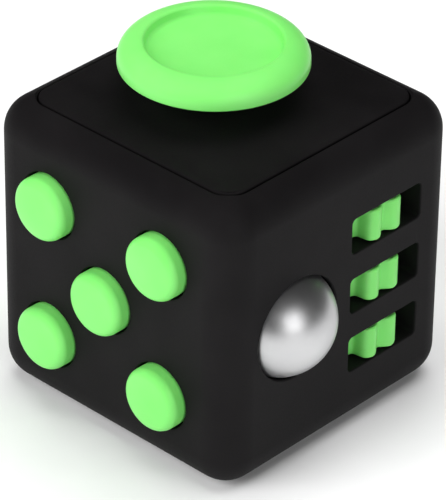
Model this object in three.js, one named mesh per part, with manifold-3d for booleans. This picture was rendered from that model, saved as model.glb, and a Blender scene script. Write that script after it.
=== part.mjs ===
// Fidget cube: a pocket cube with a different thing to handle on each of its six faces.
// Millimetres, +Z up. The origin is the centre of the bottom face.
//   -Y  five push buttons          +X  three roller wheels and a pressing, rolling ball
//   +Z  sprung glide stick         +Y  flip switch
//   -X  spin dial                  -Z  worry-stone dish, in the base cover
import * as THREE from 'three';
import { mergeVertices } from 'three/addons/utils/BufferGeometryUtils.js';
import { RoundedBoxGeometry } from 'three/addons/geometries/RoundedBoxGeometry.js';
import Module from 'manifold-3d';

const wasm = await Module();
wasm.setup();

// ---------------------------------------------------------------- driving dimensions
const CUBE = 33;
const EDGE_R = 3.8;
const WALL = 2.75;
const CAVITY_CORNER_R = 1.2;
const SLIP = 0.05;                 // gap between fixed pieces that seat on each other
const RUN = 0.2;                   // gap round a piece that moves
const MELT = 0.5;                  // how far joined solids run into each other
const PAST = 1;                    // how far a cutter runs past what it cuts

const DISH_LENGTH = 20;            // worry-stone dish in the bottom
const DISH_WIDTH = 16;
const DISH_DEPTH = 1.6;
const DISH_FLOOR = 1.8;            // plastic left under the dish

const COVER_THICK = 2.2;           // lid in the top face
const COVER_CORNER_R = 2.4;
const SEAM = 0.15;
const TONGUE_THICK = 1;
const TONGUE_WIDTH = 3.4;
const TONGUE_LENGTH = 3;
const TONGUE_PLAY = 0.2;           // between a tongue and the wall
const BARB = 0.35;
const POCKET_GAP = 0.25;           // round the barb, in its pocket
const POCKET_HEIGHT = 1.6;
const CORNER_POST = 1.5;
const SEAT_LAP = 0.1;              // overlap of a cover's opening and the room behind it

const SCREW_R = 0.7;
const SCREW_HEAD_R = 1.3;
const SCREW_HEAD_H = 0.9;
const SCREW_CHAMFER = 0.3;
const SCREW_BITE = 2.2;            // thread length in the boss
const SCREW_TIP_GAP = 0.3;         // left under a short screw's tip
const DEEP_BITE = SCREW_BITE + 0.5; // pilot hole for a screw without that allowance
const SCREW_SLOT_HALF = 0.16;
const SCREW_SLOT_DEPTH = 0.45;
const SCREW_HOLE_GAP = 0.15;       // round the shank, where it passes through
const HEAD_GAP = 0.1;              // beside a screw's head
const BOSS_R = 1.5;

const GLIDE_X = -0.77;             // the glide stick, from the middle of the top face
const GLIDE_Y = -0.72;
const STICK_PIVOT_DEPTH = 3.8;     // centre of the glide stick's ball, under the top face
const STICK_BALL_R = 3.4;
const STICK_POST_R = 1.75;
const STICK_NECK_R = 1.3;
const STICK_FOOT_R = 4.6;
const STICK_FOOT_THICK = 0.8;
const STICK_FOOT_DROP = 2.8;       // top of the foot, under the pivot
const STICK_THROAT_R = 2.8;
const THROAT_MOUTH_R = 3.7;        // the throat opens to this at the top face
const CAP_R = 9.56;
const CAP_RISE = 3.6;              // underside of the rim, above the top face
const CAP_RIM_H = 0.7;
const CAP_CREST_R = 7.17;
const CAP_HEIGHT = 2.6;
const CAP_DISH_R = 6.4;
const CAP_DISH_DEPTH = 1;
const CAP_SHELL = 1.1;
const CAP_SOCKET_R = 3.4;
const GLIDE_SPRING_R = 3.6;
const GLIDE_SPRING_H = 2.6;
const GLIDE_WIRE_R = 0.33;
const GLIDE_CUP_GAP = 1;           // room for the foot to swing
const GLIDE_CUP_WALL = 0.8;
const GLIDE_EAR_ANGLES = [0, 130, 230];
const GLIDE_EAR_THICK = 1;
const GLIDE_DRAIN_R = 1.2;         // hole in the cup's floor

const BUTTON_R = 3.4;
const BUTTON_PITCH = 7.65;
const BUTTONS_X = -0.45;           // the middle button, from the middle of its face
const BUTTONS_Y = -0.3;
const BUTTON_PROUD = 2;
const BUTTON_ROUND = 1.2;
const BUTTON_CROWN = 0.25;         // rise of the face, from its rim to its middle
const BUTTON_FLANGE = 0.8;         // reach and thickness of the flange behind the wall
const BUTTON_STEM_R = 1.6;
const BUTTON_STEM_H = 0.6;
const BUTTON_TRAVEL = 0.7;
const DOME_R = 2.6;
const DOME_SHEET = 0.2;
const DOME_FOOT = 0.3;             // width of the ring that a dome stands on
const BACKPLATE_THICK = 1.2;

const WHEEL_R = 4.7;
const WHEEL_LOBES = 8;
const WHEEL_LOBE_H = 1;
const WHEEL_LOBE_POWER = 3;        // above 2, lobes are broader than the valleys
const WHEEL_THICK = 3.6;
const WHEEL_PITCH = 7;
const WHEEL_X = 6.1;               // across the face, from its centre
const WHEELS_Y = -0.42;            // the middle wheel, up the face from its centre
const WHEEL_HUB_R = 1.35;
const WHEEL_HUB_H = 0.8;
const WINDOW_GAP = 0.35;           // beside a wheel
const WINDOW_R = 0.5;
const AXLE_R = 0.8;
const ARM_THICK = 1.2;
const ARM_WIDTH = 4.4;
const FRAME_THICK = 1;
const DETENT_SHEET = 0.25;
const WHEEL_FLOOR_GAP = 0.5;       // between the lobes and the plate behind them
const DETENT_GAP = 0.35;           // between a finger's hump and its valley, at rest

const BALL_R = 5.8;
const BALL_DEPTH = 2.5;            // centre under the face
const BALL_LIP = 0.2;              // how far the casing laps over the ball
const BALL_X = -6.65;
const BALL_Y = -0.3;
const BALL_TRAVEL = 0.8;
const CUP_R = 3.8;
const CUP_THICK = 1.2;             // behind the back of the ball
const CUP_RIM = 1.3;               // how far the cup comes up round the ball
const CUP_FLOOR_GAP = 0.5;         // left under the cup when it is pressed home
const SLEEVE_WALL = 0.6;
const SLEEVE_H = 2.9;
const BALL_PLATE_R = 5.2;
const BALL_SCREW_X = -0.8;         // across the face, from the ball
const BALL_PLATE_THICK = 1;

const ROCKER_WIDTH = 7;
const ROCKER_R = 7.8;              // end faces, about the pin
const PIN_COVER = 0.5;             // between the wall and the pin
const ROCKER_TILT = 10;            // degrees either side of level
const ROCKER_BELLY = 2.2;          // under the pin
const PIN_R = 0.75;
const CHEEK_THICK = 0.9;
const FLIP_BASE_DEPTH = 4.6;       // under the pin
const FLIP_BASE_THICK = 1;
const FLIP_SCREW_Y = 9.7;
const LEAF_SHEET = 0.25;
const LEAF_HUMP = 0.75;

const DIAL_R = 8;
const DIAL_PROUD = 2.8;
const DIAL_RECESS = 0.6;
const DIAL_GAP = 0.4;              // round the dial, in its recess
const DIAL_HUB_R = 2.5;
const DIAL_DIMPLE_R = 2.6;
const DIAL_DIMPLE_X = 4.5;
const WAVE_WASHER_H = 0.5;
const RETAINER_R = 4.2;
const RETAINER_THICK = 0.9;

// ---------------------------------------------------------------- derived planes
const HALF = CUBE / 2;
const CAVITY = HALF - WALL;                      // half width inside
const FLOOR_Z = DISH_DEPTH + DISH_FLOOR;
const COVER_UNDER = CUBE - COVER_THICK;
const WHEEL_DEPTH = WALL + WHEEL_HUB_R + RUN;    // axle under the face
const ROCKER_PIN_DEPTH = WALL + PIN_R + PIN_COVER;
const DOME_H = BUTTON_TRAVEL;
const BACKPLATE_Z = -WALL - SLIP - BUTTON_FLANGE - BUTTON_STEM_H - BUTTON_TRAVEL - 0.1;
const WHEEL_FRAME_Z = -WHEEL_DEPTH - WHEEL_R - WHEEL_FLOOR_GAP;
const BALL_BACK_Z = -BALL_DEPTH - BALL_R;
const CUP_BACK_Z = BALL_BACK_Z - CUP_THICK;
const BALL_PLATE_Z = CUP_BACK_Z - BALL_TRAVEL - CUP_FLOOR_GAP;
const STICK_CUP_R = STICK_FOOT_R + GLIDE_CUP_GAP;
const STICK_CUP_OUTER_R = STICK_CUP_R + GLIDE_CUP_WALL;
const BALL_HOLE_R = BALL_R - BALL_LIP;
const WINDOW_WIDTH = 2 * (WHEEL_R + WINDOW_GAP);
const WINDOW_HEIGHT = WHEEL_THICK + 2 * RUN;

// ---------------------------------------------------------------- colours
const CHARCOAL = { color: 0x262427, roughness: 0.62, metalness: 0 };
const GREEN = { color: 0x7df06a, roughness: 0.35, metalness: 0 };
const INNER_PLASTIC = { color: 0x4a4b4f, roughness: 0.55, metalness: 0 };
const STEEL = { color: 0xc9ccd0, roughness: 0.15, metalness: 1 };
const SPRING_STEEL = { color: 0xa7abb2, roughness: 0.3, metalness: 1 };
const SILICONE = { color: 0xd8d6cf, roughness: 0.7, metalness: 0 };

// ---------------------------------------------------------------- shapes and solids
/** A closed manifold solid from any closed three.js geometry. */
function solid(geometry) {
  const bare = geometry.clone();
  bare.deleteAttribute('normal');
  bare.deleteAttribute('uv');
  const merged = mergeVertices(bare, 1e-4);
  const points = merged.attributes.position.array;
  const index = merged.index.array;
  const triangles = [];
  for (let i = 0; i < index.length; i += 3) {
    const [a, b, c] = [index[i], index[i + 1], index[i + 2]];
    if (a !== b && b !== c && c !== a) triangles.push(a, b, c);
  }
  if (signedVolume(points, triangles) < 0) triangles.reverse();
  return new wasm.Manifold(new wasm.Mesh({
    numProp: 3,
    vertProperties: new Float32Array(points),
    triVerts: new Uint32Array(triangles),
  }));
}

function signedVolume(points, triangles) {
  const corner = (i) => new THREE.Vector3().fromArray(points, 3 * triangles[i]);
  let volume = 0;
  for (let i = 0; i < triangles.length; i += 3) {
    volume += corner(i).dot(corner(i + 1).cross(corner(i + 2))) / 6;
  }
  return volume;
}

const join = (...solids) => solids.reduce((whole, next) => whole.add(next));
const cut = (body, ...tools) => tools.reduce((rest, tool) => rest.subtract(tool), body);

const at = (geometry, x, y, z) => geometry.translate(x, y, z);

/** A box between two corners. */
function block([x0, y0, z0], [x1, y1, z1]) {
  const box = new THREE.BoxGeometry(x1 - x0, y1 - y0, z1 - z0);
  return at(box, (x0 + x1) / 2, (y0 + y1) / 2, (z0 + z1) / 2);
}

/** A profile of [radius, z] points turned about the Z axis. */
function turned(profile, sides = 20) {
  const points = profile.map(([r, z]) => new THREE.Vector2(r, z));
  return new THREE.LatheGeometry(points, sides).rotateX(Math.PI / 2);
}

/** A round bar along Z. */
function bar(radius, z0, z1, sides = 16) {
  return turned([[0, z0], [radius, z0], [radius, z1], [0, z1]], sides);
}

const ball = (radius) => new THREE.SphereGeometry(radius, 20, 12).rotateX(Math.PI / 2);

/** Points of an arc in a profile, about (r, z), from one angle to another, in degrees. */
function arc([r, z], radius, from, to, steps = 3) {
  const points = [];
  for (let i = 0; i <= steps; i += 1) {
    const angle = THREE.MathUtils.degToRad(from + ((to - from) * i) / steps);
    points.push([r + radius * Math.cos(angle), z + radius * Math.sin(angle)]);
  }
  return points;
}

/** A flat outline pushed from z0 to z1. */
function slab(shape, z0, z1, curveSegments = 5) {
  const options = { depth: z1 - z0, bevelEnabled: false, curveSegments };
  return at(new THREE.ExtrudeGeometry(shape, options), 0, 0, z0);
}

function roundedRect(halfX, halfY, radius, x = 0, y = 0) {
  const shape = new THREE.Shape();
  const corners = [[1, -1, -90], [1, 1, 0], [-1, 1, 90], [-1, -1, 180]];
  corners.forEach(([sx, sy, start]) => {
    const a = THREE.MathUtils.degToRad(start);
    const cx = x + sx * (halfX - radius);
    const cy = y + sy * (halfY - radius);
    shape.absarc(cx, cy, radius, a, a + Math.PI / 2, false);
  });
  shape.closePath();
  return shape;
}

/** Two discs joined by their tangents: a strap from one point to another. */
function strap(x0, y0, x1, y1, radius) {
  const along = Math.atan2(y1 - y0, x1 - x0);
  const shape = new THREE.Shape();
  shape.absarc(x1, y1, radius, along - Math.PI / 2, along + Math.PI / 2, false);
  shape.absarc(x0, y0, radius, along + Math.PI / 2, along + (3 * Math.PI) / 2, false);
  shape.closePath();
  return shape;
}

// ---------------------------------------------------------------- placing
const cube = new THREE.Group();
cube.name = 'fidget_cube';

/** A group on one face of the cube: +Z looks out of the face, and +Y is up the face. */
function faceGroup(normal) {
  const out = new THREE.Vector3(...normal);
  const up = normal[2] ? new THREE.Vector3(0, 1, 0) : new THREE.Vector3(0, 0, 1);
  const across = new THREE.Vector3().crossVectors(up, out);
  const group = new THREE.Group();
  group.setRotationFromMatrix(new THREE.Matrix4().makeBasis(across, up, out));
  group.position.copy(out).multiplyScalar(HALF);
  group.position.z += HALF;
  group.updateMatrix();
  cube.add(group);
  return group;
}

const topFace = faceGroup([0, 0, 1]);
const clickFace = faceGroup([0, -1, 0]);
const rollFace = faceGroup([1, 0, 0]);
const flipFace = faceGroup([0, 1, 0]);
const spinFace = faceGroup([-1, 0, 0]);

/** A solid given in a face's own frame, as a solid in the cube's frame. */
const onFace = (face, geometry) => solid(geometry.clone().applyMatrix4(face.matrix));

/** A solid given in one face's frame, as a solid in another face's frame. */
function acrossFaces(from, to, geometry) {
  const matrix = to.matrix.clone().invert().multiply(from.matrix);
  return solid(geometry.clone().applyMatrix4(matrix));
}

function piece(name, body, finish, parent, x = 0, y = 0, z = 0) {
  const { vertProperties, triVerts } = body.getMesh();
  const geometry = new THREE.BufferGeometry();
  geometry.setAttribute('position', new THREE.BufferAttribute(vertProperties, 3));
  geometry.setIndex(new THREE.BufferAttribute(triVerts, 1));
  geometry.computeVertexNormals();
  const mesh = new THREE.Mesh(geometry, new THREE.MeshStandardMaterial(finish));
  mesh.name = name;
  mesh.position.set(x, y, z);
  parent.add(mesh);
  return mesh;
}

/** A cross-head screw whose head seats at z = 0 and whose shank points to +Z. */
function screwSolid(shankLength) {
  const head = SCREW_HEAD_H;
  const shaft = solid(turned([
    [0, -head], [SCREW_HEAD_R - SCREW_CHAMFER, -head], [SCREW_HEAD_R, -head + SCREW_CHAMFER],
    [SCREW_HEAD_R, 0],
    [SCREW_R, 0], [SCREW_R, shankLength], [0, shankLength],
  ], 10));
  const slotReach = SCREW_HEAD_R * 0.55;
  const slots = [[slotReach, SCREW_SLOT_HALF], [SCREW_SLOT_HALF, slotReach]].map(([hx, hy]) => (
    solid(block([-hx, -hy, -head - PAST], [hx, hy, -head + SCREW_SLOT_DEPTH]))));
  return cut(shaft, ...slots);
}

/** A solid of the top face's frame, made about the glide stick's axis. */
const atStick = (geometry) => solid(at(geometry, GLIDE_X, GLIDE_Y, 0));
const boss = (x, y, z0, z1) => at(bar(BOSS_R, z0, z1, 10), x, y, 0);
const pilot = (x, y, z0, z1) => at(bar(SCREW_R + SLIP, z0, z1, 10), x, y, 0);
const clearanceHole = (x, y, z0, z1) => (
  at(bar(SCREW_R + SCREW_HOLE_GAP, z0, z1, 10), x, y, 0));

// ---------------------------------------------------------------- where the screws go
const clickScrews = [[-1, 1], [1, 1], [-1, -1], [1, -1]].map(([sx, sy]) => ({
  x: sx * (CAVITY - SCREW_HEAD_R - HEAD_GAP),
  y: sy > 0 ? COVER_UNDER - HALF - BOSS_R - 0.9 : FLOOR_Z - HALF + SCREW_HEAD_R + 0.3,
}));
const wheelScrews = [-1, 1].map((s) => (
  { x: CAVITY - SCREW_HEAD_R - HEAD_GAP, y: WHEELS_Y + (s * WHEEL_PITCH) / 2 }));
const ballScrews = [-1, 1].map((s) => (
  { x: BALL_X + BALL_SCREW_X, y: BALL_Y + s * (BALL_R + 2.5) }));
const flipScrews = [-1, 1].map((s) => ({ x: 0, y: s * FLIP_SCREW_Y }));
const glideScrews = GLIDE_EAR_ANGLES.map((degrees) => {
  const angle = THREE.MathUtils.degToRad(degrees);
  const radius = STICK_CUP_OUTER_R + BOSS_R + 0.3;
  return { x: GLIDE_X + radius * Math.cos(angle), y: GLIDE_Y + radius * Math.sin(angle) };
});

// ---------------------------------------------------------------- casing
const windowRows = [1, 0, -1].map((row) => WHEELS_Y + row * WHEEL_PITCH);
const buttonPlaces = [
  { name: 'top_left', column: -1, row: 1, quiet: false },
  { name: 'top_right', column: 1, row: 1, quiet: true },
  { name: 'middle', column: 0, row: 0, quiet: false },
  { name: 'bottom_left', column: -1, row: -1, quiet: true },
  { name: 'bottom_right', column: 1, row: -1, quiet: false },
].map(({ name, column, row, quiet }) => ({
  name, x: BUTTONS_X + column * BUTTON_PITCH, y: BUTTONS_Y + row * BUTTON_PITCH, quiet,
}));
const lidTongueTurns = [0, 0.5, 1, 1.5].map((turns) => turns * Math.PI);
const baseTongueTurns = [0, Math.PI];
const DIAL_HUB_HOLE_R = DIAL_HUB_R + RUN;
const ROCKER_CUT_R = ROCKER_R + 0.25;

const roundedCube = () => new RoundedBoxGeometry(CUBE, CUBE, CUBE, 2, EDGE_R);

function bodyShell() {
  const outside = solid(at(roundedCube(), 0, 0, HALF));
  const cavity = slab(roundedRect(CAVITY, CAVITY, CAVITY_CORNER_R), FLOOR_Z, COVER_UNDER);
  const seat = roundedRect(CAVITY, CAVITY, COVER_CORNER_R);
  const mouth = slab(seat, COVER_UNDER - SEAT_LAP, CUBE + PAST);
  const foot = slab(seat, -PAST, FLOOR_Z + SEAT_LAP);
  const shell = cut(outside, solid(cavity), solid(mouth), solid(foot));
  return cut(join(shell, ...shellPosts()), ...shellOpenings());
}

/** Corner posts between the two covers, and the bosses that the screws bite into. */
function shellPosts() {
  const posts = [];
  [[1, 1], [-1, 1], [-1, -1], [1, -1]].forEach(([sx, sy]) => {
    const reach = CAVITY + MELT;
    const near = CAVITY - CORNER_POST;
    const xs = [sx * near, sx * reach].sort((a, b) => a - b);
    const ys = [sy * near, sy * reach].sort((a, b) => a - b);
    const post = block([xs[0], ys[0], FLOOR_Z + SLIP], [xs[1], ys[1], COVER_UNDER - SLIP]);
    posts.push(solid(post));
  });
  const inWall = -WALL + MELT;
  clickScrews.forEach(({ x, y }) => {
    posts.push(onFace(clickFace, boss(x, y, BACKPLATE_Z + SLIP, inWall)));
  });
  wheelScrews.forEach(({ x, y }) => {
    posts.push(onFace(rollFace, boss(x, y, WHEEL_FRAME_Z + SLIP, inWall)));
  });
  ballScrews.forEach(({ x, y }) => {
    posts.push(onFace(rollFace, boss(x, y, BALL_PLATE_Z + SLIP, inWall)));
  });
  flipScrews.forEach(({ x, y }) => {
    posts.push(onFace(flipFace, boss(x, y, -FLIP_EAR_DEPTH + SLIP, inWall)));
  });
  return posts;
}

function shellOpenings() {
  const through = [-WALL - MELT, PAST];
  const tools = [];
  buttonPlaces.forEach(({ x, y }) => {
    tools.push(onFace(clickFace, at(bar(BUTTON_R + RUN, ...through, 20), x, y, 0)));
    const flangeRoom = bar(BUTTON_R + BUTTON_FLANGE + RUN, BACKPLATE_Z - PAST, -WALL, 20);
    tools.push(onFace(clickFace, at(flangeRoom, x, y, 0)));
  });
  windowRows.forEach((y) => {
    const outline = roundedRect(WINDOW_WIDTH / 2, WINDOW_HEIGHT / 2, WINDOW_R, WHEEL_X, y);
    tools.push(onFace(rollFace, slab(outline, ...through, 3)));
  });
  tools.push(onFace(rollFace, at(bar(BALL_HOLE_R, ...through, 24), BALL_X, BALL_Y, 0)));
  tools.push(onFace(rollFace, at(ball(BALL_R + RUN), BALL_X, BALL_Y, -BALL_DEPTH)));
  tools.push(onFace(flipFace, rockerDrum(ROCKER_CUT_R, ROCKER_WIDTH / 2 + RUN, 16)));
  tools.push(onFace(spinFace, bar(DIAL_R + DIAL_GAP, -DIAL_RECESS, PAST, 24)));
  tools.push(onFace(spinFace, bar(DIAL_HUB_HOLE_R, ...through)));
  clickScrews.forEach(({ x, y }) => {
    tools.push(onFace(clickFace, pilot(x, y, BACKPLATE_Z - PAST, BACKPLATE_Z + SCREW_BITE)));
  });
  wheelScrews.forEach(({ x, y }) => {
    tools.push(onFace(rollFace, pilot(x, y, WHEEL_FRAME_Z - PAST, WHEEL_FRAME_Z + DEEP_BITE)));
  });
  ballScrews.forEach(({ x, y }) => {
    tools.push(onFace(rollFace, pilot(x, y, BALL_PLATE_Z - PAST, BALL_PLATE_Z + DEEP_BITE)));
  });
  flipScrews.forEach(({ x, y }) => {
    const mouth = -FLIP_EAR_DEPTH;
    tools.push(onFace(flipFace, pilot(x, y, mouth - PAST, mouth + DEEP_BITE)));
  });
  lidTongueTurns.forEach((turn) => {
    tools.push(tonguePocket(turn, COVER_UNDER - TONGUE_LENGTH + RUN));
  });
  baseTongueTurns.forEach((turn) => {
    tools.push(tonguePocket(turn, FLOOR_Z + TONGUE_LENGTH - RUN - POCKET_HEIGHT));
  });
  return tools;
}

function tonguePocket(turn, z0) {
  const half = TONGUE_WIDTH / 2 + POCKET_GAP;
  const reach = CAVITY + BARB + POCKET_GAP;
  const pocket = block([CAVITY - MELT, -half, z0], [reach, half, z0 + POCKET_HEIGHT]);
  return solid(pocket.rotateZ(turn));
}

/** The oval dish of the worry stone: a flattened ball that dips into the bottom face. */
function worryDish() {
  const bowl = new THREE.SphereGeometry(1, 20, 12);
  const dip = 0.5;                 // share of the flattened ball's half height that cuts in
  const half = DISH_DEPTH / dip;
  const widen = 1 / Math.sqrt(1 - (1 - dip) ** 2);
  bowl.scale((DISH_LENGTH / 2) * widen, (DISH_WIDTH / 2) * widen, half);
  return solid(at(bowl, 0, 0, DISH_DEPTH - half));
}

// ---------------------------------------------------------------- covers
/** A cover's plate: what the seam leaves of the cube between two heights. */
function coverPlate(z0, z1) {
  const half = CAVITY - SEAM;
  const flatPlate = solid(slab(roundedRect(half, half, COVER_CORNER_R - SEAM), z0, z1));
  return flatPlate.intersect(solid(at(roundedCube(), 0, 0, HALF)));
}

/** The cover in the bottom, held by two tongues, with the dish sunk in it. */
function baseCover() {
  const plate = coverPlate(0, FLOOR_Z);
  const rise = FLOOR_Z - COVER_THICK;
  const tongues = baseTongueTurns.map((turn) => (
    solid(at(tongue().rotateX(Math.PI).rotateZ(turn), 0, 0, rise))));
  return cut(join(plate, ...tongues), worryDish());
}

function topCover() {
  const under = -COVER_THICK;
  const plate = coverPlate(COVER_UNDER, CUBE).translate([0, 0, -CUBE]);
  const seatR = STICK_BALL_R + RUN;
  const collarR = seatR + 1.5;
  const collar = atStick(bar(collarR, -STICK_PIVOT_DEPTH - 0.8, under + MELT, 24));
  const tongues = lidTongueTurns.map((turn) => solid(tongue().rotateZ(turn)));
  const posts = glideScrews.map(({ x, y }) => (
    solid(boss(x, y, GLIDE_EAR_TOP + SLIP, under + MELT))));
  const seat = atStick(at(ball(seatR), 0, 0, -STICK_PIVOT_DEPTH));
  const way = atStick(bar(seatR, -STICK_PIVOT_DEPTH - 2, -STICK_PIVOT_DEPTH, 24));
  const throatZ = -STICK_PIVOT_DEPTH + Math.sqrt(seatR ** 2 - STICK_THROAT_R ** 2);
  const funnel = atStick(turned([
    [0, throatZ - 0.6], [STICK_THROAT_R, throatZ - 0.6], [STICK_THROAT_R, throatZ],
    [THROAT_MOUTH_R, 0], [THROAT_MOUTH_R, PAST], [0, PAST],
  ], 24));
  const pilots = glideScrews.map(({ x, y }) => (
    solid(pilot(x, y, GLIDE_EAR_TOP - 1, GLIDE_EAR_TOP + SCREW_BITE))));
  return cut(join(plate, collar, ...tongues, ...posts), seat, way, funnel, ...pilots);
}

/** One snap tongue on the +X side of the lid, with its barb; the lid's top is at z = 0. */
function tongue() {
  const outer = CAVITY - SEAM - TONGUE_PLAY;
  const inner = outer - TONGUE_THICK;
  const tip = -COVER_THICK - TONGUE_LENGTH;
  const side = new THREE.Shape();
  side.moveTo(inner, -COVER_THICK + MELT);
  side.lineTo(inner, tip);
  side.lineTo(outer, tip);
  side.lineTo(outer + BARB, tip + 0.6);
  side.lineTo(outer + BARB, tip + 1);
  side.lineTo(outer, tip + 1.3);
  side.lineTo(outer, -COVER_THICK + MELT);
  side.closePath();
  const half = TONGUE_WIDTH / 2;
  return slab(side, -half, half).rotateX(Math.PI / 2);
}

// ---------------------------------------------------------------- glide stick
const GLIDE_EAR_TOP = -STICK_PIVOT_DEPTH - 1.9;
const FOOT_TOP = -STICK_PIVOT_DEPTH - STICK_FOOT_DROP;
const FOOT_UNDER = FOOT_TOP - STICK_FOOT_THICK;
const GLIDE_FLOOR = FOOT_UNDER - 0.1 - GLIDE_SPRING_H - 0.1;
const POST_TOP = CAP_RISE + 0.7;

function glideCap() {
  const rimTop = CAP_RISE + CAP_RIM_H;
  const crest = CAP_RISE + CAP_HEIGHT;
  const dishZ = crest - CAP_DISH_DEPTH;
  const shoulder = shoulderArc([CAP_R, rimTop], [CAP_CREST_R, crest], 5);
  const cap = turned([
    [0, dishZ - 0.1], [CAP_DISH_R, dishZ], [CAP_CREST_R - 0.35, crest - 0.12], ...shoulder,
    [CAP_R, CAP_RISE], [CAP_R - CAP_SHELL, CAP_RISE], [CAP_R - CAP_SHELL, CAP_RISE + 0.6],
    [CAP_SOCKET_R, POST_TOP - 0.2], [CAP_SOCKET_R, CAP_RISE - 1.2], [0, CAP_RISE - 1.2],
  ].reverse(), 24);
  const bore = bar(STICK_POST_R + SLIP, CAP_RISE - 2, POST_TOP + SLIP, 24);
  return cut(solid(cap), solid(bore));
}

/** A quarter of an oval from the crest down to the rim, as profile points. */
function shoulderArc([rimR, rimZ], [crestR, crestZ], steps) {
  const points = [];
  for (let i = 0; i <= steps; i += 1) {
    const angle = (Math.PI / 2) * (1 - i / steps);
    points.push([
      crestR + (rimR - crestR) * Math.cos(angle),
      rimZ + (crestZ - rimZ) * Math.sin(angle),
    ]);
  }
  return points;
}

function glideStem() {
  const post = solid(bar(STICK_POST_R, -STICK_PIVOT_DEPTH, POST_TOP));
  const knob = solid(at(ball(STICK_BALL_R), 0, 0, -STICK_PIVOT_DEPTH));
  const neck = solid(bar(STICK_NECK_R, FOOT_TOP - 0.2, -STICK_PIVOT_DEPTH, 20));
  const foot = solid(bar(STICK_FOOT_R, FOOT_UNDER, FOOT_TOP, 20));
  return join(post, knob, neck, foot);
}

/** The cup under the stick, hung from the lid by three ears. */
function glideHousing() {
  const floorUnder = GLIDE_FLOOR - GLIDE_CUP_WALL;
  const earUnder = GLIDE_EAR_TOP - GLIDE_EAR_THICK;
  const ears = glideScrews.map(({ x, y }) => (
    solid(slab(strap(GLIDE_X, GLIDE_Y, x, y, BOSS_R), earUnder, GLIDE_EAR_TOP))));
  const wall = atStick(bar(STICK_CUP_OUTER_R, floorUnder, GLIDE_EAR_TOP, 20));
  const inside = atStick(bar(STICK_CUP_R, GLIDE_FLOOR, GLIDE_EAR_TOP + PAST, 20));
  const drain = atStick(bar(GLIDE_DRAIN_R, floorUnder - PAST, GLIDE_FLOOR + PAST, 12));
  const holes = glideScrews.map(({ x, y }) => (
    solid(clearanceHole(x, y, earUnder - PAST, GLIDE_EAR_TOP + PAST))));
  return cut(join(wall, ...ears), inside, drain, ...holes);
}

/** The space that a frame on another face leaves for the cup. */
function glideCupRoom(face) {
  const room = bar(STICK_CUP_OUTER_R + 0.3, GLIDE_FLOOR - 2, 0, 24);
  return acrossFaces(topFace, face, at(room, GLIDE_X, GLIDE_Y, 0));
}

class Helix extends THREE.Curve {
  constructor(radius, height, turns) {
    super();
    Object.assign(this, { radius, height, turns });
  }

  getPoint(t, target = new THREE.Vector3()) {
    const angle = 2 * Math.PI * this.turns * t;
    const { radius, height } = this;
    return target.set(radius * Math.cos(angle), radius * Math.sin(angle), height * t);
  }
}

function glideSpring() {
  const rise = GLIDE_SPRING_H - 2 * GLIDE_WIRE_R;
  const section = new THREE.Shape().absarc(0, 0, GLIDE_WIRE_R, 0, 2 * Math.PI, false);
  const coil = new THREE.ExtrudeGeometry(section, {
    steps: 44, extrudePath: new Helix(GLIDE_SPRING_R, rise, 2.5), curveSegments: 2,
  });
  return solid(at(coil, 0, 0, GLIDE_FLOOR + 0.1 + GLIDE_WIRE_R));
}

function buildGlide() {
  piece('glide_cap', glideCap(), GREEN, topFace, GLIDE_X, GLIDE_Y);
  piece('glide_stem', glideStem(), CHARCOAL, topFace, GLIDE_X, GLIDE_Y);
  piece('glide_spring', glideSpring(), SPRING_STEEL, topFace, GLIDE_X, GLIDE_Y);
  piece('glide_housing', glideHousing(), INNER_PLASTIC, topFace);
  const screw = screwSolid(GLIDE_EAR_THICK + SCREW_BITE - SCREW_TIP_GAP);
  const seatZ = GLIDE_EAR_TOP - GLIDE_EAR_THICK - SLIP;
  glideScrews.forEach(({ x, y }, i) => {
    piece(`glide_screw_${i + 1}`, screw, STEEL, topFace, x, y, seatZ);
  });
}

// ---------------------------------------------------------------- click buttons
const FLANGE_FRONT = -WALL - SLIP;
const STEM_END = FLANGE_FRONT - BUTTON_FLANGE - BUTTON_STEM_H;
const BACKPLATE_BACK = BACKPLATE_Z - BACKPLATE_THICK;

function clickButton() {
  const shoulder = BUTTON_PROUD - BUTTON_ROUND;
  const flangeR = BUTTON_R + BUTTON_FLANGE;
  return solid(turned([
    [0, STEM_END], [BUTTON_STEM_R, STEM_END], [BUTTON_STEM_R, FLANGE_FRONT - BUTTON_FLANGE],
    [flangeR, FLANGE_FRONT - BUTTON_FLANGE], [flangeR, FLANGE_FRONT], [BUTTON_R, FLANGE_FRONT],
    ...arc([BUTTON_R - BUTTON_ROUND, shoulder - BUTTON_CROWN], BUTTON_ROUND, 0, 75, 3),
    [0, BUTTON_PROUD],
  ], 20));
}

/** A thin sprung-steel dome, concave side down, standing on z = 0. */
function snapDome(radius, height) {
  const under = height - DOME_SHEET;
  const cap = (r, h) => [[r, 0], [r * 0.8, h * 0.5], [r * 0.45, h * 0.88], [0, h]];
  const outside = cap(radius, height);
  const inside = cap(radius - DOME_FOOT, under).reverse();
  return solid(turned([...outside, ...inside, outside[0]], 16));
}

function quietPad() {
  const top = DOME_H;
  return solid(turned([
    [0, 0], [DOME_R, 0], [DOME_R, 0.25], [BUTTON_STEM_R + 0.2, top - 0.1],
    [BUTTON_STEM_R, top], [0, top],
  ], 16));
}

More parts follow.
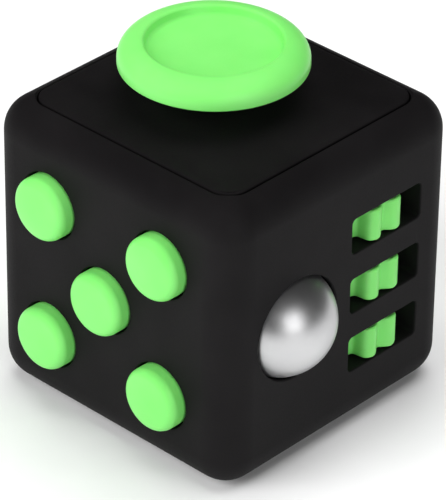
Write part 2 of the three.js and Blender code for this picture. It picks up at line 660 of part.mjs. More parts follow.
/** The plate behind the buttons, notched for the ball and its guide. */
function clickBackplate() {
  const halfX = CAVITY - 0.45;
  const bottom = FLOOR_Z - HALF + 0.15;
  const top = COVER_UNDER - HALF - 1.3;
  const middle = (bottom + top) / 2;
  const outline = roundedRect(halfX, (top - bottom) / 2, 1, 0, middle);
  const plate = solid(slab(outline, BACKPLATE_BACK, BACKPLATE_Z));
  const notchStart = HALF + BALL_PLATE_Z - BALL_PLATE_THICK - 0.4;
  const planeGap = HALF + BALL_X + BACKPLATE_BACK;
  const chord = Math.sqrt(Math.max(BALL_R ** 2 - planeGap ** 2, 0));
  const notchHalf = Math.max(chord + 0.4, CUP_R + RUN + SLEEVE_WALL + 0.4);
  const z0 = BACKPLATE_BACK - 1;
  const z1 = BACKPLATE_Z + 1;
  const notch = block([notchStart, BALL_Y - notchHalf, z0], [HALF, BALL_Y + notchHalf, z1]);
  const holes = clickScrews.map(({ x, y }) => solid(clearanceHole(x, y, z0, z1)));
  return cut(plate, solid(notch), ...holes);
}

function buildClick() {
  const button = clickButton();
  const dome = snapDome(DOME_R, DOME_H);
  const pad = quietPad();
  buttonPlaces.forEach(({ name, x, y, quiet }) => {
    piece(`click_button_${name}`, button, GREEN, clickFace, x, y);
    if (quiet) piece(`quiet_pad_${name}`, pad, SILICONE, clickFace, x, y, BACKPLATE_Z + SLIP);
    else piece(`click_dome_${name}`, dome, SPRING_STEEL, clickFace, x, y, BACKPLATE_Z + SLIP);
  });
  piece('click_backplate', clickBackplate(), INNER_PLASTIC, clickFace);
  const screw = screwSolid(BACKPLATE_THICK + SCREW_BITE - SCREW_TIP_GAP);
  clickScrews.forEach(({ x, y }, i) => {
    piece(`click_screw_${i + 1}`, screw, STEEL, clickFace, x, y, BACKPLATE_BACK - SLIP);
  });
}

// ---------------------------------------------------------------- roller wheels
const FRAME_FRONT = WHEEL_FRAME_Z;
const FRAME_BACK = WHEEL_FRAME_Z - FRAME_THICK;
const armCentres = [-1.5, -0.5, 0.5, 1.5].map((row) => WHEELS_Y + row * WHEEL_PITCH);
const AXLE_HALF = 1.5 * WHEEL_PITCH + ARM_THICK / 2 + 0.2;

/** A lobed roller, its axle along Y. A valley between two lobes looks out of the face. */
function rollWheel() {
  const outline = new THREE.Shape();
  const steps = WHEEL_LOBES * 4;
  for (let i = 0; i < steps; i += 1) {
    const angle = (2 * Math.PI * i) / steps;
    const wave = Math.abs(Math.cos((angle * WHEEL_LOBES) / 2));
    const radius = WHEEL_R - WHEEL_LOBE_H * wave ** WHEEL_LOBE_POWER;
    const point = [radius * Math.cos(angle), radius * Math.sin(angle)];
    if (i === 0) outline.moveTo(...point);
    else outline.lineTo(...point);
  }
  outline.closePath();
  const rim = solid(slab(outline, -WHEEL_THICK / 2, WHEEL_THICK / 2));
  const hubEnd = WHEEL_THICK / 2 + WHEEL_HUB_H;
  const hub = solid(bar(WHEEL_HUB_R, -hubEnd, hubEnd, 12));
  const bore = solid(bar(AXLE_R + 0.1, -hubEnd - 1, hubEnd + 1, 12));
  const wheel = cut(join(rim, hub), bore);
  return turnToY(wheel);
}

/** The same solid with its Z axis laid along Y. */
function turnToY(body) {
  const { vertProperties, triVerts } = body.getMesh();
  const geometry = new THREE.BufferGeometry();
  geometry.setAttribute('position', new THREE.BufferAttribute(vertProperties, 3));
  geometry.setIndex(new THREE.BufferAttribute(triVerts, 1));
  return solid(geometry.rotateX(-Math.PI / 2));
}

function rollAxle() {
  const chamfer = 0.2;
  return solid(turned([
    [0, -AXLE_HALF], [AXLE_R - chamfer, -AXLE_HALF], [AXLE_R, -AXLE_HALF + chamfer],
    [AXLE_R, AXLE_HALF - chamfer], [AXLE_R - chamfer, AXLE_HALF], [0, AXLE_HALF],
  ], 12).rotateX(-Math.PI / 2));
}

/** The comb-shaped carrier that holds the axle between the wheels. */
function wheelFrame() {
  const edge = CAVITY - 0.15;
  const nearX = WHEEL_X - 3.2;
  const endY = AXLE_HALF - 0.2;
  const plate = solid(block(
    [nearX, WHEELS_Y - endY, FRAME_BACK],
    [edge, WHEELS_Y + endY, FRAME_FRONT],
  ));
  const tip = -WALL - 0.25;
  const arms = armCentres.map((y) => solid(block(
    [WHEEL_X - ARM_WIDTH / 2, y - ARM_THICK / 2, FRAME_FRONT - 0.2],
    [WHEEL_X + ARM_WIDTH / 2, y + ARM_THICK / 2, tip],
  )));
  const reach = AXLE_HALF + PAST;
  const bore = bar(AXLE_R + SLIP, -reach, reach, 12).rotateX(-Math.PI / 2);
  const holes = wheelScrews.map(({ x, y }) => (
    solid(clearanceHole(x, y, FRAME_BACK - 1, FRAME_FRONT + 1))));
  const axleWay = solid(at(bore, WHEEL_X, WHEELS_Y, -WHEEL_DEPTH));
  return cut(join(plate, ...arms), axleWay, glideCupRoom(rollFace), ...holes);
}

/** A steel comb whose three bent fingers drop into the wheels' valleys. */
function wheelDetentSpring() {
  const z0 = FRAME_FRONT + SLIP;
  const z1 = z0 + DETENT_SHEET;
  const crest = z0 + WHEEL_FLOOR_GAP + WHEEL_LOBE_H - DETENT_GAP;
  const spineX = WHEEL_X + ARM_WIDTH / 2 + 0.4;
  const spineWidth = 1.2;
  const spineHalf = WHEEL_PITCH + 1.6;
  const spine = solid(block(
    [spineX, WHEELS_Y - spineHalf, z0],
    [spineX + spineWidth, WHEELS_Y + spineHalf, z1],
  ));
  const bend = 0.5;                // from the crest to the curves' handles
  const foot = 1.2;                // from the crest to the hump's foot
  const x = WHEEL_X;
  const fingers = windowRows.map((y) => {
    const side = new THREE.Shape();
    side.moveTo(spineX + MELT, z0);
    side.lineTo(spineX + MELT, z1);
    side.lineTo(x + foot, z1);
    side.quadraticCurveTo(x + bend, crest, x, crest);
    side.quadraticCurveTo(x - bend, crest, x - foot, z1);
    side.lineTo(x - foot, z0);
    side.quadraticCurveTo(x - bend, crest - DETENT_SHEET, x, crest - DETENT_SHEET);
    side.quadraticCurveTo(x + bend, crest - DETENT_SHEET, x + foot, z0);
    side.closePath();
    return solid(at(slab(side, -1, 1, 4).rotateX(Math.PI / 2), 0, y, 0));
  });
  return join(spine, ...fingers);
}

function buildWheels() {
  const wheel = rollWheel();
  const names = ['top', 'middle', 'bottom'];
  windowRows.forEach((y, i) => {
    piece(`roll_wheel_${names[i]}`, wheel, GREEN, rollFace, WHEEL_X, y, -WHEEL_DEPTH);
  });
  piece('roll_axle', rollAxle(), STEEL, rollFace, WHEEL_X, WHEELS_Y, -WHEEL_DEPTH);
  piece('wheel_frame', wheelFrame(), INNER_PLASTIC, rollFace);
  piece('wheel_detent_spring', wheelDetentSpring(), SPRING_STEEL, rollFace);
  const screw = screwSolid(FRAME_THICK + SCREW_BITE);
  wheelScrews.forEach(({ x, y }, i) => {
    piece(`wheel_frame_screw_${i + 1}`, screw, STEEL, rollFace, x, y, FRAME_BACK - SLIP);
  });
}

// ---------------------------------------------------------------- roller ball
const SLEEVE_FRONT = BALL_PLATE_Z + SLEEVE_H;

/** The seat under the ball, which goes in with it when it is pressed. */
function ballCup() {
  const rim = BALL_BACK_Z + CUP_RIM;
  const post = solid(bar(CUP_R, CUP_BACK_Z, rim, 24));
  const dish = solid(at(ball(BALL_R + 0.15), 0, 0, -BALL_DEPTH));
  return cut(post, dish);
}

function ballHousing() {
  const back = BALL_PLATE_Z - BALL_PLATE_THICK;
  const top = BALL_PLATE_Z;
  const disc = solid(bar(BALL_PLATE_R, back, top, 24));
  const reach = ballScrews[1].y - BALL_Y;
  const arm = solid(slab(strap(BALL_SCREW_X, -reach, BALL_SCREW_X, reach, BOSS_R), back, top));
  const sleeve = solid(bar(CUP_R + RUN + SLEEVE_WALL, back, SLEEVE_FRONT, 24));
  const inside = solid(bar(CUP_R + RUN, top, SLEEVE_FRONT + 1, 24));
  const holes = [-reach, reach].map((y) => (
    solid(clearanceHole(BALL_SCREW_X, y, back - 1, top + 1))));
  const wallSide = HALF + BALL_X + BACKPLATE_BACK - 0.3;
  const trim = solid(block([-20, -20, back - 1], [-wallSide, 20, top + SLIP]));
  return cut(join(cut(disc, trim), arm, sleeve), inside, ...holes);
}

function buildBall() {
  piece('roller_ball', solid(ball(BALL_R)), STEEL, rollFace, BALL_X, BALL_Y, -BALL_DEPTH);
  piece('ball_cup', ballCup(), INNER_PLASTIC, rollFace, BALL_X, BALL_Y);
  piece('ball_housing', ballHousing(), INNER_PLASTIC, rollFace, BALL_X, BALL_Y);
  const domeH = CUP_BACK_Z - BALL_PLATE_Z - 2 * SLIP;
  const dome = snapDome(CUP_R - 0.4, domeH);
  piece('ball_dome', dome, SPRING_STEEL, rollFace, BALL_X, BALL_Y, BALL_PLATE_Z + SLIP);
  const screw = screwSolid(BALL_PLATE_THICK + SCREW_BITE);
  const seatZ = BALL_PLATE_Z - BALL_PLATE_THICK - SLIP;
  ballScrews.forEach(({ x, y }, i) => {
    piece(`ball_housing_screw_${i + 1}`, screw, STEEL, rollFace, x, y, seatZ);
  });
}

// ---------------------------------------------------------------- flip switch
const CHEEK_IN = ROCKER_WIDTH / 2 + 0.25;
const CHEEK_OUT = CHEEK_IN + CHEEK_THICK;
const FLIP_EAR_DEPTH = ROCKER_PIN_DEPTH + 1.4;
const FLIP_FLOOR = -ROCKER_PIN_DEPTH - FLIP_BASE_DEPTH;

/** A drum across the face, about the rocker's pin. */
function rockerDrum(radius, halfWidth, sides) {
  const drum = bar(radius, -halfWidth, halfWidth, 2 * sides).rotateY(Math.PI / 2);
  return at(drum, 0, 0, -ROCKER_PIN_DEPTH);
}

/** The rocker, level: a drum under two flats that rise outwards from a valley. */
function levelRocker() {
  const lean = Math.tan(THREE.MathUtils.degToRad(ROCKER_TILT));
  const half = ROCKER_WIDTH / 2;
  const side = new THREE.Shape();
  const valley = ROCKER_PIN_DEPTH;
  const reach = ROCKER_R + 1;
  side.moveTo(0, valley);
  side.lineTo(reach, valley + reach * lean);
  side.lineTo(reach, -ROCKER_BELLY);
  side.lineTo(1.2, -ROCKER_BELLY);
  side.quadraticCurveTo(0, -ROCKER_BELLY - 2.2, -1.2, -ROCKER_BELLY);
  side.lineTo(-reach, -ROCKER_BELLY);
  side.lineTo(-reach, valley + reach * lean);
  side.closePath();
  const wedge = slab(side, -half, half, 3).rotateX(Math.PI / 2).rotateZ(Math.PI / 2);
  const drum = bar(ROCKER_R, -half - 1, half + 1, 48).rotateY(Math.PI / 2);
  const bore = bar(PIN_R + 0.1, -half - 1, half + 1, 20).rotateY(Math.PI / 2);
  return cut(solid(wedge).intersect(solid(drum)), solid(bore));
}

function flipHousing() {
  const halfY = ROCKER_R + 0.6;
  const top = -WALL - 0.1;
  const floorUnder = FLIP_FLOOR - FLIP_BASE_THICK;
  const base = solid(block([-CHEEK_OUT, -halfY, floorUnder], [CHEEK_OUT, halfY, FLIP_FLOOR]));
  const cheeks = [-1, 1].map((s) => {
    const xs = [s * CHEEK_IN, s * CHEEK_OUT].sort((a, b) => a - b);
    return solid(block([xs[0], -3.2, FLIP_FLOOR - 0.2], [xs[1], 3.2, top]));
  });
  const ends = [-1, 1].flatMap((s) => {
    const ys = [s * (halfY - 0.3), s * (halfY - 1.1)].sort((a, b) => a - b);
    const wallTop = -FLIP_EAR_DEPTH;
    const wallEnd = block([-BOSS_R, ys[0], FLIP_FLOOR - 0.2], [BOSS_R, ys[1], wallTop]);
    const ear = slab(strap(0, s * (halfY - 0.7), 0, s * FLIP_SCREW_Y, BOSS_R), wallTop - 1, wallTop);
    return [solid(wallEnd), solid(ear)];
  });
  const swing = solid(rockerDrum(ROCKER_R + 0.2, CHEEK_IN, 28));
  const swingBelow = solid(block([-CHEEK_IN, -5, FLIP_FLOOR], [CHEEK_IN, 5, -ROCKER_PIN_DEPTH]));
  const pinWay = bar(PIN_R + SLIP, -CHEEK_OUT - 1, CHEEK_OUT + 1, 20).rotateY(Math.PI / 2);
  const holes = flipScrews.map(({ x, y }) => (
    solid(clearanceHole(x, y, -FLIP_EAR_DEPTH - 2, -FLIP_EAR_DEPTH + 1))));
  const screwRoom = wheelScrews.map(({ x, y }) => (
    acrossFaces(rollFace, flipFace, at(bar(SCREW_HEAD_R + 0.4, -HALF, FRAME_BACK, 12), x, y, 0))));
  const shape = join(base, ...cheeks, ...ends);
  const pinHole = solid(at(pinWay, 0, 0, -ROCKER_PIN_DEPTH));
  return cut(shape, swing, swingBelow, pinHole, glideCupRoom(flipFace), ...screwRoom, ...holes);
}

/** A leaf with a hump, which the rocker's nose has to cross. */
function flipLeafSpring() {
  const z0 = FLIP_FLOOR + SLIP;
  const z1 = z0 + LEAF_SHEET;
  const crest = z0 + LEAF_HUMP;
  const end = 4;                   // half length of the leaf
  const foot = 2;                  // half length of the hump
  const bend = 0.8;                // from the crest to the curves' handles
  const side = new THREE.Shape();
  side.moveTo(-end, z0);
  side.lineTo(-end, z1);
  side.lineTo(-foot, z1);
  side.quadraticCurveTo(-bend, crest, 0, crest);
  side.quadraticCurveTo(bend, crest, foot, z1);
  side.lineTo(end, z1);
  side.lineTo(end, z0);
  side.lineTo(foot, z0);
  side.quadraticCurveTo(bend, crest - LEAF_SHEET, 0, crest - LEAF_SHEET);
  side.quadraticCurveTo(-bend, crest - LEAF_SHEET, -foot, z0);
  side.closePath();
  return solid(slab(side, -1.5, 1.5, 4).rotateX(Math.PI / 2).rotateZ(Math.PI / 2));
}

function buildFlip() {
  const rocker = piece('flip_rocker', levelRocker(), GREEN, flipFace, 0, 0, -ROCKER_PIN_DEPTH);
  rocker.rotation.x = THREE.MathUtils.degToRad(ROCKER_TILT);
  const pinHalf = CHEEK_OUT;
  const pin = solid(bar(PIN_R, -pinHalf, pinHalf, 20).rotateY(Math.PI / 2));
  piece('flip_pin', pin, STEEL, flipFace, 0, 0, -ROCKER_PIN_DEPTH);
  piece('flip_housing', flipHousing(), INNER_PLASTIC, flipFace);
  piece('flip_leaf_spring', flipLeafSpring(), SPRING_STEEL, flipFace);
  const screw = screwSolid(1 + SCREW_BITE);
  flipScrews.forEach(({ x, y }, i) => {
    piece(`flip_screw_${i + 1}`, screw, STEEL, flipFace, x, y, -FLIP_EAR_DEPTH - 1 - SLIP);
  });
}

// ---------------------------------------------------------------- spin dial
const WASHER_Z = -WALL - SLIP - WAVE_WASHER_H;
const HUB_END = WASHER_Z - SLIP;
const RETAINER_BACK = HUB_END - RETAINER_THICK;

function spinDial() {
  const under = -DIAL_RECESS + RUN;
  const edge = 0.7;
  const knob = solid(turned([
    [0, HUB_END], [DIAL_HUB_R, HUB_END], [DIAL_HUB_R, under], [DIAL_R, under],
    ...arc([DIAL_R - edge, DIAL_PROUD - edge], edge, 0, 90, 2), [0, DIAL_PROUD],
  ], 24));
  const dimpleBall = DIAL_DIMPLE_R * 1.5;
  const dimpleRise = Math.sqrt(dimpleBall ** 2 - DIAL_DIMPLE_R ** 2);
  const dimple = solid(at(ball(dimpleBall), DIAL_DIMPLE_X, 0, DIAL_PROUD + dimpleRise));
  const screwWay = solid(bar(SCREW_R + SLIP, HUB_END - PAST, HUB_END + DEEP_BITE, 16));
  return cut(knob, dimple, screwWay);
}

/** A flat ring pressed into a gentle wave, between the wall and the retainer. */
function waveWasher() {
  const inner = DIAL_HUB_HOLE_R;
  const ring = turned([
    [inner, 0], [RETAINER_R - 0.3, 0], [RETAINER_R - 0.3, 0.2], [inner, 0.2], [inner, 0],
  ], 24);
  const points = ring.attributes.position;
  const swing = (WAVE_WASHER_H - 0.2) / 2;
  for (let i = 0; i < points.count; i += 1) {
    const angle = Math.atan2(points.getY(i), points.getX(i));
    points.setZ(i, points.getZ(i) + swing * (1 + Math.cos(3 * angle)));
  }
  return solid(ring);
}

function spinRetainer() {
  const disc = solid(bar(RETAINER_R, RETAINER_BACK, HUB_END - SLIP, 24));
  return cut(disc, solid(bar(SCREW_R + 0.15, RETAINER_BACK - 1, HUB_END + 1, 16)));
}

function buildSpin() {
  piece('spin_dial', spinDial(), GREEN, spinFace);
  piece('spin_wave_washer', waveWasher(), SPRING_STEEL, spinFace, 0, 0, WASHER_Z);
  piece('spin_retainer', spinRetainer(), INNER_PLASTIC, spinFace);
  const screw = screwSolid(RETAINER_THICK + SCREW_BITE);
  piece('spin_screw', screw, STEEL, spinFace, 0, 0, RETAINER_BACK - SLIP);
}

// ---------------------------------------------------------------- assembly
piece('body_shell', bodyShell(), CHARCOAL, cube);
piece('base_cover', baseCover(), CHARCOAL, cube);
piece('top_cover', topCover(), CHARCOAL, topFace);
buildGlide();
buildClick();
buildWheels();
buildBall();
buildFlip();
buildSpin();

export default cube;
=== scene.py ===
"""Fidget cube: the looks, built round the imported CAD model.

Shapes are made in millimetres, in the frame of one face of the cube, and moved to the row
frame in metres at the end. A face frame has its origin at the middle of the face, +Z out of
the face and +Y up it.
"""

import math

import bmesh
import bpy
from mathutils import Matrix, Vector

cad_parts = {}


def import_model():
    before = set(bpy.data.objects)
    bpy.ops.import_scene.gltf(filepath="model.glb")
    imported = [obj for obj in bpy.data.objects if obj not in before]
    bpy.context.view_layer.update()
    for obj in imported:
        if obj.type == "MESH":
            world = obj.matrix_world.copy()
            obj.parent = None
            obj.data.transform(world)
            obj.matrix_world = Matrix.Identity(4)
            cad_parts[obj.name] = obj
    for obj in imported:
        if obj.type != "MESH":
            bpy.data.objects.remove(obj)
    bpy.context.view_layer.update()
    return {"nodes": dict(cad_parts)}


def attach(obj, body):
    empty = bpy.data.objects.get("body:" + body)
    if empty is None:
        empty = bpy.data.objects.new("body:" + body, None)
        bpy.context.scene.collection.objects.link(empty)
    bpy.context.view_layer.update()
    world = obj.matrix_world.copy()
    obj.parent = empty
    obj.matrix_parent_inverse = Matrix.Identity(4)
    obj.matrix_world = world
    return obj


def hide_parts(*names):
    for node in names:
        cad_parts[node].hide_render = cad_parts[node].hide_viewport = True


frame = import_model()

MM = 0.001

# ---------------------------------------------------------------- sizes, in millimetres
# Heights in a face's frame are measured from the face, so what is inside is negative.
SLIP = 0.05           # gap between fixed pieces that seat on each other
RUN = 0.2             # gap round a piece that moves
MELT = 0.5            # how far joined solids run into each other
PAST = 1.0            # how far a cutter runs past what it cuts
CHAMFER = 0.1         # broken edge of a small turned step
SOFT = 0.2            # rounding of a small moulded edge
MOUTH_ROUND = 0.2     # softened edge of an opening
FINE = 96             # sides of a turned piece
FINEST = 128          # sides of the largest ones

CUBE = 33.0
HALF = CUBE / 2
EDGE_R = 3.8
WALL = 2.75
CAVITY = HALF - WALL
CAVITY_CORNER_R = 1.2
FLOOR_Z = 3.4
CORNER_POST = 1.5

COVER_THICK = 2.2
COVER_UNDER = CUBE - COVER_THICK
COVER_CORNER_R = 2.4
SEAT_LAP = 0.1        # overlap of a cover's opening and the room behind it
SEAM = 0.15
SEAM_ROUND = 0.2
SEAM_OUTER_Z = -0.4   # where the rounding ends, on the casing's side of the seam
SEAM_INNER_Z = -0.28  # and on the cover's side
TONGUE_WIDTH = 3.4
TONGUE_LENGTH = 3.0
TONGUE_THICK = 1.0
TONGUE_PLAY = 0.2
BARB = 0.35
BARB_HEIGHTS = (0.6, 1.0, 1.3)  # from a tongue's tip: widest from, to, and the barb's end
POCKET_GAP = 0.25
POCKET_HEIGHT = 1.6
LID_TONGUES = (0, 1, 2, 3)      # quarter turns from +X
BASE_TONGUES = (0, 2)

SCREW_R = 0.7
PILOT_R = SCREW_R + SLIP
BOSS_R = 1.5
SCREW_BITE = 2.2
DEEP_BITE = SCREW_BITE + 0.5

GLIDE_X = -0.77
GLIDE_Y = -0.72
PIVOT_Z = -3.8
STICK_BALL_R = 3.4
POST_R = 1.75
FOOT_R = 4.6
FOOT_TOP = PIVOT_Z - 2.8
FOOT_UNDER = FOOT_TOP - 0.8
THROAT_R = 2.8
THROAT_MOUTH_R = 3.7
COLLAR_WALL = 1.5
COLLAR_DROP = 0.8               # below the pivot
EAR_TOP = PIVOT_Z - 1.9
GLIDE_CUP_GAP = 1.0
GLIDE_CUP_WALL = 0.8
GLIDE_SCREW_GAP = 0.3           # between the cup and a screw's boss
GLIDE_EARS = (0, 130, 230)      # degrees round the stick

CAP_R = 9.56
CAP_RISE = 3.6
CAP_RIM_H = 0.7
CAP_CREST_R = 7.17
CAP_HEIGHT = 2.6
CAP_DISH_R = 6.4
CAP_DISH_DEPTH = 1.0
CAP_DISH_SAG = 0.1
CAP_LIP_R = 0.35
CAP_SHELL = 1.1
CAP_SOCKET_R = 3.4
CAP_SOCKET_DROP = 1.2
POST_TOP = CAP_RISE + 0.7

BUTTON_R = 3.4
BUTTON_PITCH = 7.65
BUTTONS_X = -0.45
BUTTONS_Y = -0.3
BUTTON_PROUD = 2.0
BUTTON_ROUND = 1.0
BUTTON_CROWN_R = 13.0
BUTTON_FLANGE = 0.8
BUTTON_STEM_R = 1.6
BUTTON_STEM_H = 0.6
STEM_CHAMFER = 0.15
FLANGE_FRONT = -WALL - SLIP
BACKPLATE_Z = -5.0

WHEEL_R = 4.7
WHEEL_LOBES = 8
WHEEL_LOBE_H = 1.0
WHEEL_LOBE_POWER = 3
WHEEL_LOBE_STEPS = 32
WHEEL_THICK = 3.6
WHEEL_PITCH = 7.0
WHEEL_X = 6.1
WHEELS_Y = -0.42
WHEEL_DEPTH = 4.3
WHEEL_HUB_R = 1.35
WHEEL_HUB_H = 0.8
WHEEL_ROUND = 0.3
AXLE_R = 0.8
AXLE_GAP = 0.1
AXLE_HALF = 1.5 * WHEEL_PITCH + 0.8
WINDOW_W = 10.1
WINDOW_H = 4.0
WINDOW_R = 0.5
WHEEL_FRAME_Z = -9.5

BALL_R = 5.8
BALL_DEPTH = 2.5
BALL_HOLE_R = 5.6
BALL_X = -6.65
BALL_Y = -0.3
BALL_PLATE_Z = -10.8

ROCKER_HALF = 3.5
ROCKER_R = 7.8
ROCKER_GAP = 0.25
ROCKER_TILT = 10.0              # degrees
ROCKER_BELLY = 2.2              # underside, from the pin
ROCKER_ROUND = 0.45
ROCKER_EDGE = 0.3
ROCKER_VALLEY = 1.0             # half width of the softened valley
NOSE_HALF = 1.2
NOSE_PULL = 2.2                 # how far down the curve's handle is
NOSE_DROP = 1.1
PIN_DEPTH = 4.0
PIN_R = 0.75
PIN_GAP = 0.1
FLIP_EAR_DEPTH = 5.4

DIAL_R = 8.0
DIAL_PROUD = 2.8
DIAL_RECESS = 0.6
DIAL_GAP = 0.4
DIAL_ROUND = 0.7
DIAL_HUB_R = 2.5
DIMPLE_R = 2.6
DIMPLE_X = 4.5
DIMPLE_CURVE = 1.5              # the bowl's radius over the dimple's
DIMPLE_LIP = 0.5
HUB_END = -3.35

DISH_HALF_LENGTH = 10.0
DISH_HALF_WIDTH = 8.0
DISH_DEPTH = 1.6
DISH_DIP = 0.5                  # share of a flattened ball's half height that cuts in
DISH_EASE = 0.12                # softening of the dish's rim
DISH_REACH = 1.09               # how far the eased rim runs, over the dish's own


# ---------------------------------------------------------------- mesh tools
def link(obj):
    bpy.context.scene.collection.objects.link(obj)
    return obj


def discard(obj):
    mesh = obj.data
    bpy.data.objects.remove(obj)
    bpy.data.meshes.remove(mesh)


def mesh_object(name, points, faces):
    mesh = bpy.data.meshes.new(name)
    mesh.from_pydata([tuple(p) for p in points], [], faces)
    mesh.update()
    made = bmesh.new()
    made.from_mesh(mesh)
    bmesh.ops.recalc_face_normals(made, faces=made.faces)
    made.to_mesh(mesh)
    made.free()
    return link(bpy.data.objects.new(name, mesh))


def moved(obj, matrix):
    obj.data.transform(matrix)
    if matrix.determinant() < 0:
        obj.data.flip_normals()
    obj.data.update()
    return obj


def arc(centre_r, centre_z, radius, start, end, steps=8):
    """Points of an arc in a profile, from one angle to another, in degrees."""
    points = []
    for i in range(steps + 1):
        angle = math.radians(start + (end - start) * i / steps)
        points.append((centre_r + radius * math.cos(angle), centre_z + radius * math.sin(angle)))
    return points


def lathe(name, profile, sides=FINE, x=0.0, y=0.0, z=0.0):
    """A closed solid turned about Z, from a profile that starts and ends on the axis."""
    points, rings = [], []
    for r, h in profile:
        if r < 1e-6:
            rings.append([len(points)] * sides)
            points.append((x, y, z + h))
            continue
        start = len(points)
        rings.append(list(range(start, start + sides)))
        for i in range(sides):
            angle = 2 * math.pi * i / sides
            points.append((x + r * math.cos(angle), y + r * math.sin(angle), z + h))
    faces = []
    for low, high in zip(rings, rings[1:]):
        for i in range(sides):
            j = (i + 1) % sides
            corner = [low[i], low[j], high[j], high[i]]
            kept = [c for k, c in enumerate(corner) if c != corner[k - 1]]
            if len(kept) > 2:
                faces.append(kept)
    return mesh_object(name, points, faces)


def loft(name, rings):
    """A closed solid through rings of points, each ring the same length."""
    count = len(rings[0])
    points = [p for ring in rings for p in ring]
    faces = [list(range(count))[::-1], [(len(rings) - 1) * count + i for i in range(count)]]
    for k in range(len(rings) - 1):
        for i in range(count):
            j = (i + 1) % count
            a, b = k * count, (k + 1) * count
            faces.append([a + i, a + j, b + j, b + i])
    return mesh_object(name, points, faces)


def block(name, low, high):
    (x0, y0, z0), (x1, y1, z1) = low, high
    rings = [[(x0, y0, z), (x1, y0, z), (x1, y1, z), (x0, y1, z)] for z in (z0, z1)]
    return loft(name, rings)


def rounded_outline(half_x, half_y, radius, z, x=0.0, y=0.0, steps=8):
    points = []
    for sx, sy, start in ((1, -1, -90), (1, 1, 0), (-1, 1, 90), (-1, -1, 180)):
        centre_x, centre_y = x + sx * (half_x - radius), y + sy * (half_y - radius)
        for px, py in arc(centre_x, centre_y, radius, start, start + 90, steps):
            points.append((px, py, z))
    return points


def combine(body, tools, operation):
    """Joins or cuts solids into body, one after the other, and removes the tools."""
    for tool in tools:
        step = body.modifiers.new("step", "BOOLEAN")
        step.operation = operation
        step.solver = "EXACT"
        step.object = tool
    bpy.context.view_layer.update()
    graph = bpy.context.evaluated_depsgraph_get()
    result = bpy.data.meshes.new_from_object(body.evaluated_get(graph))
    old = body.data
    body.modifiers.clear()
    body.data = result
    bpy.data.meshes.remove(old)
    for tool in tools:
        discard(tool)
    return body


def cut(body, *tools):
    return combine(body, tools, "DIFFERENCE")


def join(body, *tools):
    return combine(body, tools, "UNION")


def cap_edges(made, z_low, z_high, axis=2):
    """Edges round the two flat ends of a prism."""
    found = []
    for edge in made.edges:
        heights = [v.co[axis] for v in edge.verts]
        for level in (z_low, z_high):
            if all(abs(h - level) < 1e-5 for h in heights):
                found.append(edge)
    return found


def prism(name, outline, low, high, rounding, segments=4):
    """A flat outline of (x, y) points pushed from low to high, its end edges rounded."""
    rings = [[(x, y, z) for x, y in outline] for z in (low, high)]
    body = loft(name, rings)
    made = bmesh.new()
    made.from_mesh(body.data)
    bmesh.ops.bevel(
        made, geom=cap_edges(made, low, high), offset=rounding, segments=segments,
        profile=0.5, affect="EDGES", clamp_overlap=True)
    made.to_mesh(body.data)
    made.free()
    return body


def rounded_cube(name, segments=14):
    """The cube with all twelve edges rounded, standing on z = 0."""
    body = block(name, (-HALF, -HALF, 0), (HALF, HALF, CUBE))
    made = bmesh.new()
    made.from_mesh(body.data)
    bmesh.ops.bevel(
        made, geom=list(made.edges), offset=EDGE_R, segments=segments,
        profile=0.5, affect="EDGES")
    made.to_mesh(body.data)
    made.free()
    return body


def face_matrix(out):
    """From a face's own frame to the cube's."""
    out = Vector(out)
    up = Vector((0, 1, 0)) if out.z else Vector((0, 0, 1))
    across = up.cross(out)
    turn = Matrix((across, up, out)).transposed().to_4x4()
    return Matrix.Translation(out * HALF + Vector((0, 0, HALF))) @ turn


TOP = face_matrix((0, 0, 1))
CLICK = face_matrix((0, -1, 0))
ROLL = face_matrix((1, 0, 0))
FLIP = face_matrix((0, 1, 0))
SPIN = face_matrix((-1, 0, 0))
BASE = face_matrix((0, 0, -1))


def on(face, obj):
    return moved(obj, face)


# ---------------------------------------------------------------- materials
def node(tree, kind, **values):
    made = tree.nodes.new(kind)
    for name, value in values.items():
        setattr(made, name, value)
    return made


def noise(tree, coords, scale, detail=3.0, roughness=0.5):
    made = node(tree, "ShaderNodeTexNoise")
    made.inputs["Scale"].default_value = scale
    made.inputs["Detail"].default_value = detail
    made.inputs["Roughness"].default_value = roughness
    tree.links.new(coords, made.inputs["Vector"])
    return made.outputs["Fac"]


def between(tree, factor, low, high):
    made = node(tree, "ShaderNodeMapRange")
    made.inputs["From Min"].default_value = 0.3
    made.inputs["From Max"].default_value = 0.7
    made.inputs["To Min"].default_value = low
    made.inputs["To Max"].default_value = high
    tree.links.new(factor, made.inputs["Value"])
    return made.outputs["Result"]


def shade_between(tree, factor, low, high):
    made = node(tree, "ShaderNodeValToRGB")
    made.color_ramp.elements[0].position = 0.3
    made.color_ramp.elements[0].color = (*low, 1.0)
    made.color_ramp.elements[1].position = 0.7
    made.color_ramp.elements[1].color = (*high, 1.0)
    tree.links.new(factor, made.inputs["Fac"])
    return made.outputs["Color"]


def bump(tree, height, strength, distance):
    made = node(tree, "ShaderNodeBump")
    made.inputs["Strength"].default_value = strength
    made.inputs["Distance"].default_value = distance
    tree.links.new(height, made.inputs["Height"])
    return made.outputs["Normal"]


DRIFT_SCALE = 160.0   # slow changes of colour, per metre


